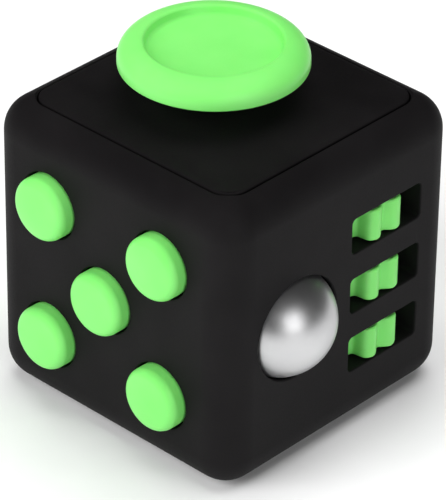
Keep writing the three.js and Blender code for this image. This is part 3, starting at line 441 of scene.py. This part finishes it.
def surface(name, dark, light, rough, grain, bump_size, fixed):
    """A plastic or metal whose colour and roughness drift and whose skin has a fine grain."""
    material = bpy.data.materials.new(name)
    material.use_nodes = True
    tree = material.node_tree
    shader = tree.nodes["Principled BSDF"]
    coords = node(tree, "ShaderNodeTexCoord").outputs["Object"]
    drift = noise(tree, coords, DRIFT_SCALE, 2.0)
    fine = noise(tree, coords, grain, 4.0, 0.6)
    tree.links.new(shade_between(tree, drift, dark, light), shader.inputs["Base Color"])
    tree.links.new(between(tree, fine, *rough), shader.inputs["Roughness"])
    strength, distance = bump_size
    tree.links.new(bump(tree, fine, strength, distance), shader.inputs["Normal"])
    for socket, value in fixed.items():
        shader.inputs[socket].default_value = value
    return material


def soft_touch():
    return surface(
        "soft_touch_black", (0.0062, 0.0056, 0.0060), (0.0088, 0.0080, 0.0085), (0.60, 0.70),
        5200.0, (0.22, 0.00003), {"Specular IOR Level": 0.12})


def green_plastic():
    return surface(
        "green_plastic", (0.20, 0.76, 0.15), (0.23, 0.80, 0.175), (0.34, 0.42),
        3600.0, (0.12, 0.00002), {"Specular IOR Level": 0.35, "Subsurface Weight": 0.08,
                                  "Subsurface Scale": 0.001})


def polished_steel():
    return surface(
        "polished_steel", (0.58, 0.58, 0.59), (0.64, 0.64, 0.645), (0.36, 0.42),
        1800.0, (0.03, 0.00001), {"Metallic": 1.0})


def screw_steel():
    return surface(
        "screw_steel", (0.46, 0.45, 0.42), (0.58, 0.56, 0.52), (0.32, 0.45),
        2500.0, (0.15, 0.00002), {"Metallic": 1.0})


def spring_steel():
    return surface(
        "spring_steel", (0.38, 0.39, 0.41), (0.50, 0.51, 0.53), (0.25, 0.36),
        2200.0, (0.12, 0.00002), {"Metallic": 1.0})


def inner_plastic():
    return surface(
        "inner_plastic", (0.009, 0.009, 0.010), (0.013, 0.013, 0.014), (0.50, 0.62),
        2600.0, (0.2, 0.00003), {"Specular IOR Level": 0.15})


def silicone():
    return surface(
        "silicone", (0.58, 0.57, 0.53), (0.66, 0.65, 0.61), (0.6, 0.7),
        2000.0, (0.15, 0.00003), {"Subsurface Weight": 0.2, "Subsurface Scale": 0.001})


LOOKS = {
    "casing": soft_touch(),
    "green": green_plastic(),
    "polished_steel": polished_steel(),
    "screw_steel": screw_steel(),
    "spring_steel": spring_steel(),
    "inner_plastic": inner_plastic(),
    "silicone": silicone(),
}


# ---------------------------------------------------------------- finishing a piece
def smooth(obj, sharp_angle):
    mesh = obj.data
    mesh.shade_smooth()
    mesh.set_sharp_from_angle(angle=math.radians(sharp_angle))
    weigh = obj.modifiers.new("even_shading", "WEIGHTED_NORMAL")
    weigh.keep_sharp = True


def clean(obj, distance=1e-4):
    made = bmesh.new()
    made.from_mesh(obj.data)
    bmesh.ops.remove_doubles(made, verts=made.verts, dist=distance)
    bmesh.ops.dissolve_degenerate(made, dist=distance, edges=made.edges)
    bmesh.ops.recalc_face_normals(made, faces=made.faces)
    made.to_mesh(obj.data)
    made.free()


def place(obj, body, slot, node_name, sharp_angle=32.0):
    """Moves a finished shape into the row frame, in metres, in place of its CAD node."""
    clean(obj)
    moved(obj, Matrix.Scale(MM, 4))
    smooth(obj, sharp_angle)
    obj.data.materials.clear()
    obj.data.materials.append(LOOKS[slot])
    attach(obj, body)
    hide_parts(node_name)
    return obj


# ---------------------------------------------------------------- casing
COLUMNS = {"left": BUTTONS_X - BUTTON_PITCH, "right": BUTTONS_X + BUTTON_PITCH}
ROWS = {"top": BUTTONS_Y + BUTTON_PITCH, "bottom": BUTTONS_Y - BUTTON_PITCH}
BUTTONS = {f"{row}_{column}": (x, y) for row, y in ROWS.items() for column, x in COLUMNS.items()}
BUTTONS["middle"] = (BUTTONS_X, BUTTONS_Y)
WHEELS = {
    "top": WHEELS_Y + WHEEL_PITCH,
    "middle": WHEELS_Y,
    "bottom": WHEELS_Y - WHEEL_PITCH,
}
SIDE_SCREW_X = 12.35
CLICK_SCREWS = [(x, y) for y in (11.9, -11.5) for x in (-SIDE_SCREW_X, SIDE_SCREW_X)]
WHEEL_SCREWS = [(SIDE_SCREW_X, WHEELS_Y + side * WHEEL_PITCH / 2) for side in (-1, 1)]
BALL_SCREWS = [(BALL_X - 0.8, BALL_Y + side * 8.3) for side in (-1, 1)]
FLIP_SCREWS = [(0.0, side * 9.7) for side in (-1, 1)]


def flare(radius):
    """The mouth of a round hole: its edge rolls outwards and runs past the face."""
    q = MOUTH_ROUND
    mouth = arc(radius + q, 0.01 - q, q, 180, 90, 5)
    return mouth + [(radius + q, PAST), (0, PAST)]


def round_hole(name, radius, x, y):
    profile = [(0, -WALL - MELT), (radius, -WALL - MELT)] + flare(radius)
    return lathe(name, profile, FINE, x, y)


def bosses(face, places, z_low):
    return [on(face, lathe("boss", [(0, z_low), (BOSS_R, z_low), (BOSS_R, -WALL + MELT),
                                    (0, -WALL + MELT)], 32, x, y)) for x, y in places]


def pilots(face, places, z_low, bite):
    """Pilot holes that start before the bosses' ends and run a bite deep into them."""
    start, end = z_low - PAST, z_low + bite
    return [on(face, lathe("pilot", [(0, start), (PILOT_R, start), (PILOT_R, end), (0, end)],
                           24, x, y)) for x, y in places]


def corner_posts():
    posts = []
    near, reach = CAVITY - CORNER_POST, CAVITY + MELT
    for sx, sy in ((1, 1), (-1, 1), (-1, -1), (1, -1)):
        xs, ys = sorted((sx * near, sx * reach)), sorted((sy * near, sy * reach))
        posts.append(block("post", (xs[0], ys[0], FLOOR_Z + SLIP),
                           (xs[1], ys[1], COVER_UNDER - SLIP)))
    return posts


def cover_recess(face, thick):
    """The opening that a cover sits in, its edge softened where the seam is."""
    q = SEAM_ROUND
    rings = [rounded_outline(CAVITY, CAVITY, COVER_CORNER_R, -thick - SEAT_LAP)]
    for r, z in arc(q, SEAM_OUTER_Z, q, 180, 90, 5):
        rings.append(rounded_outline(CAVITY + r, CAVITY + r, COVER_CORNER_R + r, z))
    rings.append(rounded_outline(CAVITY + q, CAVITY + q, COVER_CORNER_R + q, PAST))
    return on(face, loft("cover_recess", rings))


def wheel_window(y):
    q = MOUTH_ROUND
    half_w, half_h = WINDOW_W / 2, WINDOW_H / 2
    rings = [rounded_outline(half_w, half_h, WINDOW_R, -WALL - MELT, WHEEL_X, y)]
    for r, z in arc(q, 0.01 - q, q, 180, 90, 5):
        rings.append(rounded_outline(half_w + r, half_h + r, WINDOW_R + r, z, WHEEL_X, y))
    rings.append(rounded_outline(half_w + q, half_h + q, WINDOW_R + q, PAST, WHEEL_X, y))
    return loft("window", rings)


def ball_seat():
    """The ball's room: a round hole whose lip laps over the ball."""
    room = BALL_R + RUN
    lip = math.degrees(math.acos(BALL_HOLE_R / room))
    profile = arc(0, -BALL_DEPTH, room, -90, lip, 24)
    profile[0] = (0, -BALL_DEPTH - room)
    return lathe("ball_seat", profile + flare(BALL_HOLE_R), FINE, BALL_X, BALL_Y)


def drum(name, radius, half, sides=128):
    """A drum across the face, about the rocker's pin."""
    body = lathe(name, [(0, -half), (radius, -half), (radius, half), (0, half)], sides)
    return moved(body, Matrix.Translation((0, 0, -PIN_DEPTH)) @ Matrix.Rotation(
        math.pi / 2, 4, "Y"))


def rocker_window():
    """The drum-shaped opening for the rocker, and the soft edge of its mouth."""
    radius, half = ROCKER_R + ROCKER_GAP, ROCKER_HALF + RUN
    long_half = math.sqrt(radius ** 2 - PIN_DEPTH ** 2)
    q = MOUTH_ROUND
    corner = 0.02
    rings = [rounded_outline(half, long_half - 0.1, corner, -q, steps=2)]
    for r, z in arc(q, 0.01 - q, q, 180, 90, 5):
        rings.append(rounded_outline(half + r, long_half + r, corner + r, z, steps=2))
    rings.append(rounded_outline(half + q, long_half + q, corner + q, PAST, steps=2))
    return [drum("rocker_room", radius, half), loft("rocker_mouth", rings)]


def dial_recess():
    hub = DIAL_HUB_R + RUN
    rim = DIAL_R + DIAL_GAP
    profile = [(0, -WALL - MELT), (hub, -WALL - MELT), (hub, -DIAL_RECESS)]
    profile += arc(rim - SOFT, SOFT - DIAL_RECESS, SOFT, -90, 0, 4)
    return lathe("dial_recess", profile + flare(rim), FINEST)


def dish():
    """The worry stone's dish in the bottom: part of a flattened ball, its rim eased."""
    steps = 40
    half = DISH_DEPTH / DISH_DIP
    narrow = 1 - (1 - DISH_DIP) ** 2
    profile = [(0, -PAST), (DISH_REACH, -PAST)]
    for i in range(steps + 1):
        share = DISH_REACH * (1 - i / steps)
        bowl = half * math.sqrt(1 - narrow * share ** 2) - DISH_DEPTH
        profile.append((share, (bowl + math.sqrt(bowl ** 2 + DISH_EASE ** 2)) / 2))
    body = lathe("dish", profile, FINE)
    return moved(body, Matrix.Diagonal((DISH_HALF_LENGTH, DISH_HALF_WIDTH, 1, 1)))


def tongue_pocket(quarter, z0):
    half, reach = TONGUE_WIDTH / 2 + POCKET_GAP, CAVITY + BARB + POCKET_GAP
    body = block("pocket", (CAVITY - MELT, -half, z0), (reach, half, z0 + POCKET_HEIGHT))
    return moved(body, Matrix.Rotation(quarter * math.pi / 2, 4, "Z"))


def casing():
    shell = rounded_cube("casing_shell")
    cavity = loft("cavity", [rounded_outline(CAVITY, CAVITY, CAVITY_CORNER_R, z)
                             for z in (FLOOR_Z, COVER_UNDER)])
    cut(shell, cavity, cover_recess(TOP, COVER_THICK), cover_recess(BASE, FLOOR_Z))
    posts = corner_posts() + bosses(CLICK, CLICK_SCREWS, BACKPLATE_Z + SLIP)
    posts += bosses(ROLL, WHEEL_SCREWS, WHEEL_FRAME_Z + SLIP)
    posts += bosses(ROLL, BALL_SCREWS, BALL_PLATE_Z + SLIP)
    posts += bosses(FLIP, FLIP_SCREWS, -FLIP_EAR_DEPTH + SLIP)
    join(shell, *posts)
    tools = []
    flange = BUTTON_R + BUTTON_FLANGE + RUN
    for x, y in BUTTONS.values():
        tools.append(on(CLICK, round_hole("button_hole", BUTTON_R + RUN, x, y)))
        tools.append(on(CLICK, lathe("flange_room", [
            (0, BACKPLATE_Z - PAST), (flange, BACKPLATE_Z - PAST), (flange, -WALL), (0, -WALL),
        ], 48, x, y)))
    tools += [on(ROLL, wheel_window(y)) for y in WHEELS.values()]
    tools.append(on(ROLL, ball_seat()))
    tools += [on(FLIP, tool) for tool in rocker_window()]
    tools.append(on(SPIN, dial_recess()))
    tools += pilots(CLICK, CLICK_SCREWS, BACKPLATE_Z, SCREW_BITE)
    tools += pilots(ROLL, WHEEL_SCREWS, WHEEL_FRAME_Z, DEEP_BITE)
    tools += pilots(ROLL, BALL_SCREWS, BALL_PLATE_Z, DEEP_BITE)
    tools += pilots(FLIP, FLIP_SCREWS, -FLIP_EAR_DEPTH, DEEP_BITE)
    lid_pocket = COVER_UNDER - TONGUE_LENGTH + RUN
    tools += [tongue_pocket(quarter, lid_pocket) for quarter in LID_TONGUES]
    base_pocket = FLOOR_Z + TONGUE_LENGTH - RUN - POCKET_HEIGHT
    tools += [tongue_pocket(quarter, base_pocket) for quarter in BASE_TONGUES]
    cut(shell, *tools)
    return place(shell, "casing", "casing", "body_shell")


# ---------------------------------------------------------------- covers
def tongue(quarter, thick):
    """A snap tongue under a cover whose outside is at z = 0."""
    outer = CAVITY - SEAM - TONGUE_PLAY
    inner, tip = outer - TONGUE_THICK, -thick - TONGUE_LENGTH
    wide_from, wide_to, end = (tip + height for height in BARB_HEIGHTS)
    side = [(inner, -thick + MELT), (inner, tip), (outer, tip), (outer + BARB, wide_from),
            (outer + BARB, wide_to), (outer, end), (outer, -thick + MELT)]
    half = TONGUE_WIDTH / 2
    rings = [[(x, y, z) for x, z in side] for y in (-half, half)]
    return moved(loft("tongue", rings), Matrix.Rotation(quarter * math.pi / 2, 4, "Z"))


def cover_plate(thick):
    """A cover's plate, its outer edge softened, with the cube's own curve at its rim."""
    half = CAVITY - SEAM
    radius = COVER_CORNER_R - SEAM
    q = SEAM_ROUND
    rings = [rounded_outline(half, half, radius, -thick)]
    for r, z in arc(-q, SEAM_INNER_Z, q, 0, 90, 5):
        rings.append(rounded_outline(half + r, half + r, radius + r, z))
    rings.append(rounded_outline(half - q, half - q, radius - q, PAST))
    plate = loft("cover", rings)
    outside = moved(rounded_cube("outside"), Matrix.Translation((0, 0, -CUBE)))
    return combine(plate, [outside], "INTERSECT")


def base():
    """The cover in the bottom, with the worry stone's dish."""
    plate = join(cover_plate(FLOOR_Z), *[tongue(quarter, FLOOR_Z) for quarter in BASE_TONGUES])
    plate.name = "casing_base"
    return place(cut(on(BASE, plate), dish()), "casing", "casing", "base_cover")


def glide_screws():
    radius = FOOT_R + GLIDE_CUP_GAP + GLIDE_CUP_WALL + BOSS_R + GLIDE_SCREW_GAP
    return [(GLIDE_X + radius * math.cos(math.radians(a)),
             GLIDE_Y + radius * math.sin(math.radians(a))) for a in GLIDE_EARS]


def lid():
    """The cover on top: the stick's collar and seat, the tongues and the screws' posts."""
    plate = cover_plate(COVER_THICK)
    seat_r = STICK_BALL_R + RUN
    collar_r = seat_r + COLLAR_WALL
    collar_z, post_z, inside = PIVOT_Z - COLLAR_DROP, EAR_TOP + SLIP, -COVER_THICK + MELT
    parts = [lathe("collar", [(0, collar_z), (collar_r, collar_z), (collar_r, inside),
                              (0, inside)], FINE, GLIDE_X, GLIDE_Y)]
    parts += [tongue(quarter, COVER_THICK) for quarter in LID_TONGUES]
    parts += [lathe("post", [(0, post_z), (BOSS_R, post_z), (BOSS_R, inside), (0, inside)],
                    32, x, y) for x, y in glide_screws()]
    join(plate, *parts)
    throat = math.degrees(math.acos(THROAT_R / seat_r))
    start = PIVOT_Z - 2 * PAST
    bore = [(0, start), (seat_r, start)] + arc(0, PIVOT_Z, seat_r, 0, throat, 12)
    bore += [(THROAT_MOUTH_R, -MOUTH_ROUND)] + flare(THROAT_MOUTH_R)[1:]
    cutters = pilots(Matrix.Identity(4), glide_screws(), EAR_TOP, SCREW_BITE)
    cut(plate, lathe("bore", bore, FINE, GLIDE_X, GLIDE_Y), *cutters)
    plate.name = "casing_lid"
    return place(on(TOP, plate), "casing", "casing", "top_cover")


# ---------------------------------------------------------------- glide stick
def oval_quarter(centre_r, centre_z, reach, rise, steps=16):
    """A quarter of an oval, from its side up to its top."""
    points = []
    for i in range(steps + 1):
        angle = math.pi / 2 * i / steps
        points.append((centre_r + reach * math.cos(angle), centre_z + rise * math.sin(angle)))
    return points


def glide_cap():
    """The cap: a hollow underside with its socket, a rolled rim and a shallow dished top."""
    rim_top, crest = CAP_RISE + CAP_RIM_H, CAP_RISE + CAP_HEIGHT
    floor_z = crest - CAP_DISH_DEPTH
    bore, under, lead = POST_R + SLIP, CAP_RISE - CAP_SOCKET_DROP, 0.15
    inner = CAP_R - CAP_SHELL
    roof = POST_TOP - 0.25
    foot, fillet, rim, dish_edge = 0.3, 0.4, 0.25, 0.5      # radii
    profile = [(0, POST_TOP + SLIP), (bore, POST_TOP + SLIP), (bore, under + lead),
               (bore + lead, under)]
    profile += arc(CAP_SOCKET_R - foot, under + foot, foot, -90, 0, 4)
    profile += arc(CAP_SOCKET_R + fillet, roof - fillet, fillet, 180, 90, 4)
    profile += arc(inner - fillet, CAP_RISE + SOFT, fillet, 90, 0, 4)
    profile += [(inner, CAP_RISE + CHAMFER), (inner + CHAMFER, CAP_RISE)]
    profile += arc(CAP_R - rim, CAP_RISE + rim, rim, -90, 0, 5)
    profile += oval_quarter(CAP_CREST_R, rim_top, CAP_R - CAP_CREST_R, crest - rim_top, 18)
    profile += arc(CAP_CREST_R, crest - CAP_LIP_R, CAP_LIP_R, 90, 158, 6)[1:]
    profile += arc(CAP_DISH_R - CHAMFER, floor_z + dish_edge, dish_edge, -22, -90, 6)
    profile += [(CAP_DISH_R * share, floor_z - CAP_DISH_SAG * (1 - share ** 2))
                for share in (0.85, 0.7, 0.5, 0.3, 0.12)]
    profile += [(0, floor_z - CAP_DISH_SAG)]
    cap = lathe("glide_cap_moulding", profile, FINEST, GLIDE_X, GLIDE_Y)
    return place(on(TOP, cap), "glide_stick", "green", "glide_cap")


def glide_stem():
    """Foot, ball and post in one."""
    low = math.degrees(math.asin((FOOT_TOP - PIVOT_Z) / STICK_BALL_R))
    high = math.degrees(math.acos(POST_R / STICK_BALL_R))
    profile = [(0, FOOT_UNDER)]
    profile += arc(FOOT_R - SOFT, FOOT_UNDER + SOFT, SOFT, -90, 0, 3)
    profile += arc(FOOT_R - SOFT, FOOT_TOP - SOFT, SOFT, 0, 90, 3)
    profile += arc(0, PIVOT_Z, STICK_BALL_R, low, high, 20)
    profile += arc(POST_R - SOFT, POST_TOP - SOFT, SOFT, 0, 90, 3) + [(0, POST_TOP)]
    stem = lathe("glide_stem_moulding", profile, 64, GLIDE_X, GLIDE_Y)
    return place(on(TOP, stem), "glide_stick", "casing", "glide_stem")


# ---------------------------------------------------------------- buttons
def click_button(name, x, y):
    """A round button with a soft shoulder and a slightly domed face, its flange and stem."""
    q, flange = BUTTON_ROUND, BUTTON_R + BUTTON_FLANGE
    reach = BUTTON_R - q
    inner = BUTTON_CROWN_R - q
    centre_z = BUTTON_PROUD - BUTTON_CROWN_R
    shoulder_z = centre_z + math.sqrt(inner ** 2 - reach ** 2)
    crown = math.degrees(math.asin(reach / inner))
    back = FLANGE_FRONT - BUTTON_FLANGE
    stem_end = back - BUTTON_STEM_H
    profile = [
        (0, stem_end), (BUTTON_STEM_R - STEM_CHAMFER, stem_end),
        (BUTTON_STEM_R, stem_end + STEM_CHAMFER), (BUTTON_STEM_R, back),
        (flange - CHAMFER, back), (flange, back + CHAMFER),
        (flange, FLANGE_FRONT - CHAMFER), (flange - CHAMFER, FLANGE_FRONT),
        (BUTTON_R, FLANGE_FRONT),
    ]
    profile += arc(reach, shoulder_z, q, 0, 90 - crown, 12)
    profile += arc(0, centre_z, BUTTON_CROWN_R, 90 - crown, 90, 8)[1:-1]
    profile += [(0, BUTTON_PROUD)]
    piece = on(CLICK, lathe(f"button_{name}", profile, FINE, x, y))
    return place(piece, f"button_{name}", "green", f"click_button_{name}")


# ---------------------------------------------------------------- roller wheels
def spindle(name, radius, half, chamfer, sides):
    """A round bar about Z with chamfered ends."""
    return lathe(name, [
        (0, -half), (radius - chamfer, -half), (radius, chamfer - half),
        (radius, half - chamfer), (radius - chamfer, half), (0, half),
    ], sides)


def lobed_outline():
    """A roller's outline, a valley between two lobes facing +Y."""
    steps = WHEEL_LOBES * WHEEL_LOBE_STEPS
    outline = []
    for i in range(steps):
        angle = 2 * math.pi * i / steps
        wave = abs(math.cos(angle * WHEEL_LOBES / 2))
        radius = WHEEL_R - WHEEL_LOBE_H * wave ** WHEEL_LOBE_POWER
        out = angle + math.pi / 2
        outline.append((radius * math.cos(out), radius * math.sin(out)))
    return outline


def roll_wheel(name, y):
    """A lobed roller with its hub and bore."""
    half = WHEEL_THICK / 2
    rim = prism(f"wheel_{name}", lobed_outline(), -half, half, WHEEL_ROUND)
    hub_end = half + WHEEL_HUB_H
    hub = spindle("hub", WHEEL_HUB_R, hub_end, CHAMFER, 48)
    bore_r, reach = AXLE_R + AXLE_GAP, hub_end + PAST
    bore = lathe("bore", [(0, -reach), (bore_r, -reach), (bore_r, reach), (0, reach)], 40)
    cut(join(rim, hub), bore)
    # the wheel's own Z lies along the face's Y, and its Y looks out of the face
    lay = Matrix(((1, 0, 0, 0), (0, 0, 1, 0), (0, 1, 0, 0), (0, 0, 0, 1)))
    moved(rim, Matrix.Translation((WHEEL_X, y, -WHEEL_DEPTH)) @ lay)
    return place(on(ROLL, rim), f"wheel_{name}", "green", f"roll_wheel_{name}")


def roll_axle():
    axle = spindle("wheel_axle", AXLE_R, AXLE_HALF, SOFT, 48)
    moved(axle, Matrix.Rotation(-math.pi / 2, 4, "X"))
    moved(axle, Matrix.Translation((WHEEL_X, WHEELS_Y, -WHEEL_DEPTH)))
    return place(on(ROLL, axle), "casing", "polished_steel", "roll_axle")


# ---------------------------------------------------------------- ball
def steel_ball():
    """A ball made from a cube of quads blown up to a sphere, so that it has no poles."""
    cuts = 24
    body = block("steel_ball", (-1, -1, -1), (1, 1, 1))
    made = bmesh.new()
    made.from_mesh(body.data)
    bmesh.ops.subdivide_edges(made, edges=list(made.edges), cuts=cuts, use_grid_fill=True)
    for vertex in made.verts:
        bent = Vector(math.tan(c * math.pi / 4) for c in vertex.co)
        vertex.co = bent.normalized() * BALL_R
    made.to_mesh(body.data)
    made.free()
    moved(body, Matrix.Translation((BALL_X, BALL_Y, -BALL_DEPTH)))
    return place(on(ROLL, body), "ball", "polished_steel", "roller_ball", 60)


# ---------------------------------------------------------------- flip switch
def rocker_outline():
    """The rocker's side, level, about its pin: a valley, two ends on the drum, and a nose."""
    q = ROCKER_ROUND
    end = ROCKER_R - q                           # of the corners' centres, from the pin
    lean = math.radians(ROCKER_TILT)
    edge = math.degrees(math.acos((PIN_DEPTH * math.cos(lean) - q) / end))
    high = 90 + ROCKER_TILT
    top_corner = high - edge
    low_corner = math.degrees(math.asin(-(ROCKER_BELLY - q) / end))

    def corner(angle, start, finish):
        turn = math.radians(angle)
        return arc(end * math.cos(turn), end * math.sin(turn), q, start, finish, 6)

    valley = []
    for i in range(5):
        share = i / 4
        rise = ROCKER_VALLEY * math.tan(lean) * (0.5 + 0.5 * share ** 2)
        valley.append((ROCKER_VALLEY * share, PIN_DEPTH + rise))
    right = corner(top_corner, high, top_corner)
    right += arc(0, 0, ROCKER_R, top_corner, low_corner, 24)[1:]
    right += corner(low_corner, low_corner, -90)[1:]
    nose = []
    for i in range(9):
        t = i / 8
        drop = 2 * t * (1 - t) * NOSE_PULL + t ** 2 * NOSE_DROP
        nose.append((NOSE_HALF * (1 - t) ** 2, -ROCKER_BELLY - drop))
    half_side = valley + right + nose
    left = [(-u, v) for u, v in reversed(half_side) if u > 0]
    return half_side + left


def flip_rocker():
    body = prism("rocker", rocker_outline(), -ROCKER_HALF, ROCKER_HALF, ROCKER_EDGE)
    # outline (u, v) and depth w become the face's (w, u, v)
    moved(body, Matrix(((0, 0, 1, 0), (1, 0, 0, 0), (0, 1, 0, 0), (0, 0, 0, 1))))
    reach, r = ROCKER_HALF + PAST, PIN_R + PIN_GAP
    bore = lathe("bore", [(0, -reach), (r, -reach), (r, reach), (0, reach)], 40)
    cut(body, moved(bore, Matrix.Rotation(math.pi / 2, 4, "Y")))
    lean = Matrix.Rotation(math.radians(ROCKER_TILT), 4, "X")
    moved(body, Matrix.Translation((0, 0, -PIN_DEPTH)) @ lean)
    return place(on(FLIP, body), "rocker", "green", "flip_rocker")


# ---------------------------------------------------------------- dial
def dimple():
    """The finger dimple: a shallow bowl whose edge rolls over into the dial's face."""
    room = DIMPLE_R * DIMPLE_CURVE
    bowl_z = DIAL_PROUD + math.sqrt(room ** 2 - DIMPLE_R ** 2)
    edge = -math.degrees(math.acos((DIMPLE_R - DIMPLE_LIP / 2) / room))
    profile = arc(0, bowl_z, room, -90, edge, 20)
    profile[0] = (0, bowl_z - room)
    start_r, start_z = profile[-1]
    steps = 6
    for i in range(1, steps + 1):
        t = i / steps
        rise = (DIAL_PROUD + 0.005 - start_z) * (1 - (1 - t) ** 2)
        profile.append((start_r + DIMPLE_LIP * t, start_z + rise))
    profile += [(start_r + DIMPLE_LIP, DIAL_PROUD + PAST), (0, DIAL_PROUD + PAST)]
    return lathe("dimple", profile, 80, DIMPLE_X)


def spin_dial():
    under, q = -DIAL_RECESS + RUN, DIAL_ROUND
    profile = [(0, HUB_END), (DIAL_HUB_R - CHAMFER, HUB_END), (DIAL_HUB_R, HUB_END + CHAMFER),
               (DIAL_HUB_R, under)]
    profile += arc(DIAL_R - SOFT, under + SOFT, SOFT, -90, 0, 3)
    profile += arc(DIAL_R - q, DIAL_PROUD - q, q, 0, 90, 10) + [(0, DIAL_PROUD)]
    knob = lathe("dial", profile, FINEST)
    hole = lathe("hole", [(0, HUB_END - PAST), (PILOT_R, HUB_END - PAST),
                          (PILOT_R, HUB_END + DEEP_BITE), (0, HUB_END + DEEP_BITE)], 32)
    cut(knob, dimple(), hole)
    knob.name = "dial_knob"
    return place(on(SPIN, knob), "dial", "green", "spin_dial")


# ---------------------------------------------------------------- CAD nodes that stay
def look_of(name):
    if "screw" in name:
        return "screw_steel"
    if "spring" in name or "dome" in name or "washer" in name:
        return "spring_steel"
    if "quiet_pad" in name:
        return "silicone"
    if "pin" in name and "flip" in name:
        return "polished_steel"
    return "inner_plastic"


def dress(obj):
    """A kept CAD node: broken edges and its material."""
    ease = obj.modifiers.new("broken_edges", "BEVEL")
    ease.width = 0.06 * MM
    ease.segments = 2
    ease.limit_method = "ANGLE"
    ease.angle_limit = math.radians(40)
    ease.harden_normals = False
    obj.data.materials.clear()
    obj.data.materials.append(LOOKS[look_of(obj.name)])


# ---------------------------------------------------------------- surroundings
def floor():
    size = 3.0
    ground = mesh_object("floor", [(-size, -size, 0), (size, -size, 0), (size, size, 0),
                                   (-size, size, 0)], [[0, 1, 2, 3]])
    material = surface("paper_floor", (0.93, 0.93, 0.93), (0.95, 0.95, 0.95), (0.7, 0.8),
                       400.0, (0.02, 0.0001), {"Specular IOR Level": 0.1})
    ground.data.materials.append(material)


def softbox(name, direction, distance, size, radiance, seen):
    """A square light of even radiance, facing the cube from a direction."""
    data = bpy.data.lights.new(name, "AREA")
    data.shape = "SQUARE"
    data.size = size
    data.energy = radiance * math.pi * size ** 2
    lamp = link(bpy.data.objects.new(name, data))
    towards = Vector(direction).normalized()
    lamp.location = Vector((0, 0, HALF * MM)) + towards * distance
    lamp.rotation_euler = (-towards).to_track_quat("-Z", "Y").to_euler()
    lamp.visible_glossy = seen
    return lamp


def world(strength):
    made = bpy.data.worlds.new("studio")
    made.use_nodes = True
    background = made.node_tree.nodes["Background"]
    background.inputs["Color"].default_value = (1.0, 1.0, 1.0, 1.0)
    background.inputs["Strength"].default_value = strength
    bpy.context.scene.world = made


CAMERA_PLACE = (0.2268, -0.2428, 0.2296)
CAMERA_AZIMUTH = 43.03
CAMERA_ELEVATION = 32.89
CAMERA_ROLL = 0.81
CAMERA_LENS = 281.8


def camera():
    data = bpy.data.cameras.new("camera")
    data.sensor_width = 36.0
    data.lens = CAMERA_LENS
    data.clip_start = 0.01
    data.clip_end = 20.0
    made = link(bpy.data.objects.new("camera", data))
    azimuth, elevation = math.radians(CAMERA_AZIMUTH), math.radians(CAMERA_ELEVATION)
    back = Vector((math.sin(azimuth) * math.cos(elevation),
                   -math.cos(azimuth) * math.cos(elevation), math.sin(elevation)))
    right = Vector((math.cos(azimuth), math.sin(azimuth), 0))
    up = back.cross(right)
    turn = Matrix((right, up, back)).transposed().to_4x4()
    roll = Matrix.Rotation(math.radians(CAMERA_ROLL), 4, "Z")
    made.matrix_world = Matrix.Translation(CAMERA_PLACE) @ turn @ roll
    bpy.context.scene.camera = made


# ---------------------------------------------------------------- build
casing()
base()
lid()
glide_cap()
glide_stem()
for button, (bx, by) in BUTTONS.items():
    click_button(button, bx, by)
for wheel, wy in WHEELS.items():
    roll_wheel(wheel, wy)
roll_axle()
steel_ball()
flip_rocker()
spin_dial()
for cad_node in frame["nodes"].values():
    if not cad_node.hide_render:
        dress(cad_node)

floor()
world(0.05)
softbox("key", (-0.217, -0.828, 0.517), 0.8, 0.6, 5.2, False)
softbox("right", (0.884, -0.286, 0.369), 0.7, 0.42, 2.5, True)
softbox("overhead", (0.0, 0.20, 0.98), 0.9, 0.9, 3.2, False)
bpy.context.scene.view_settings.view_transform = "Standard"
camera()
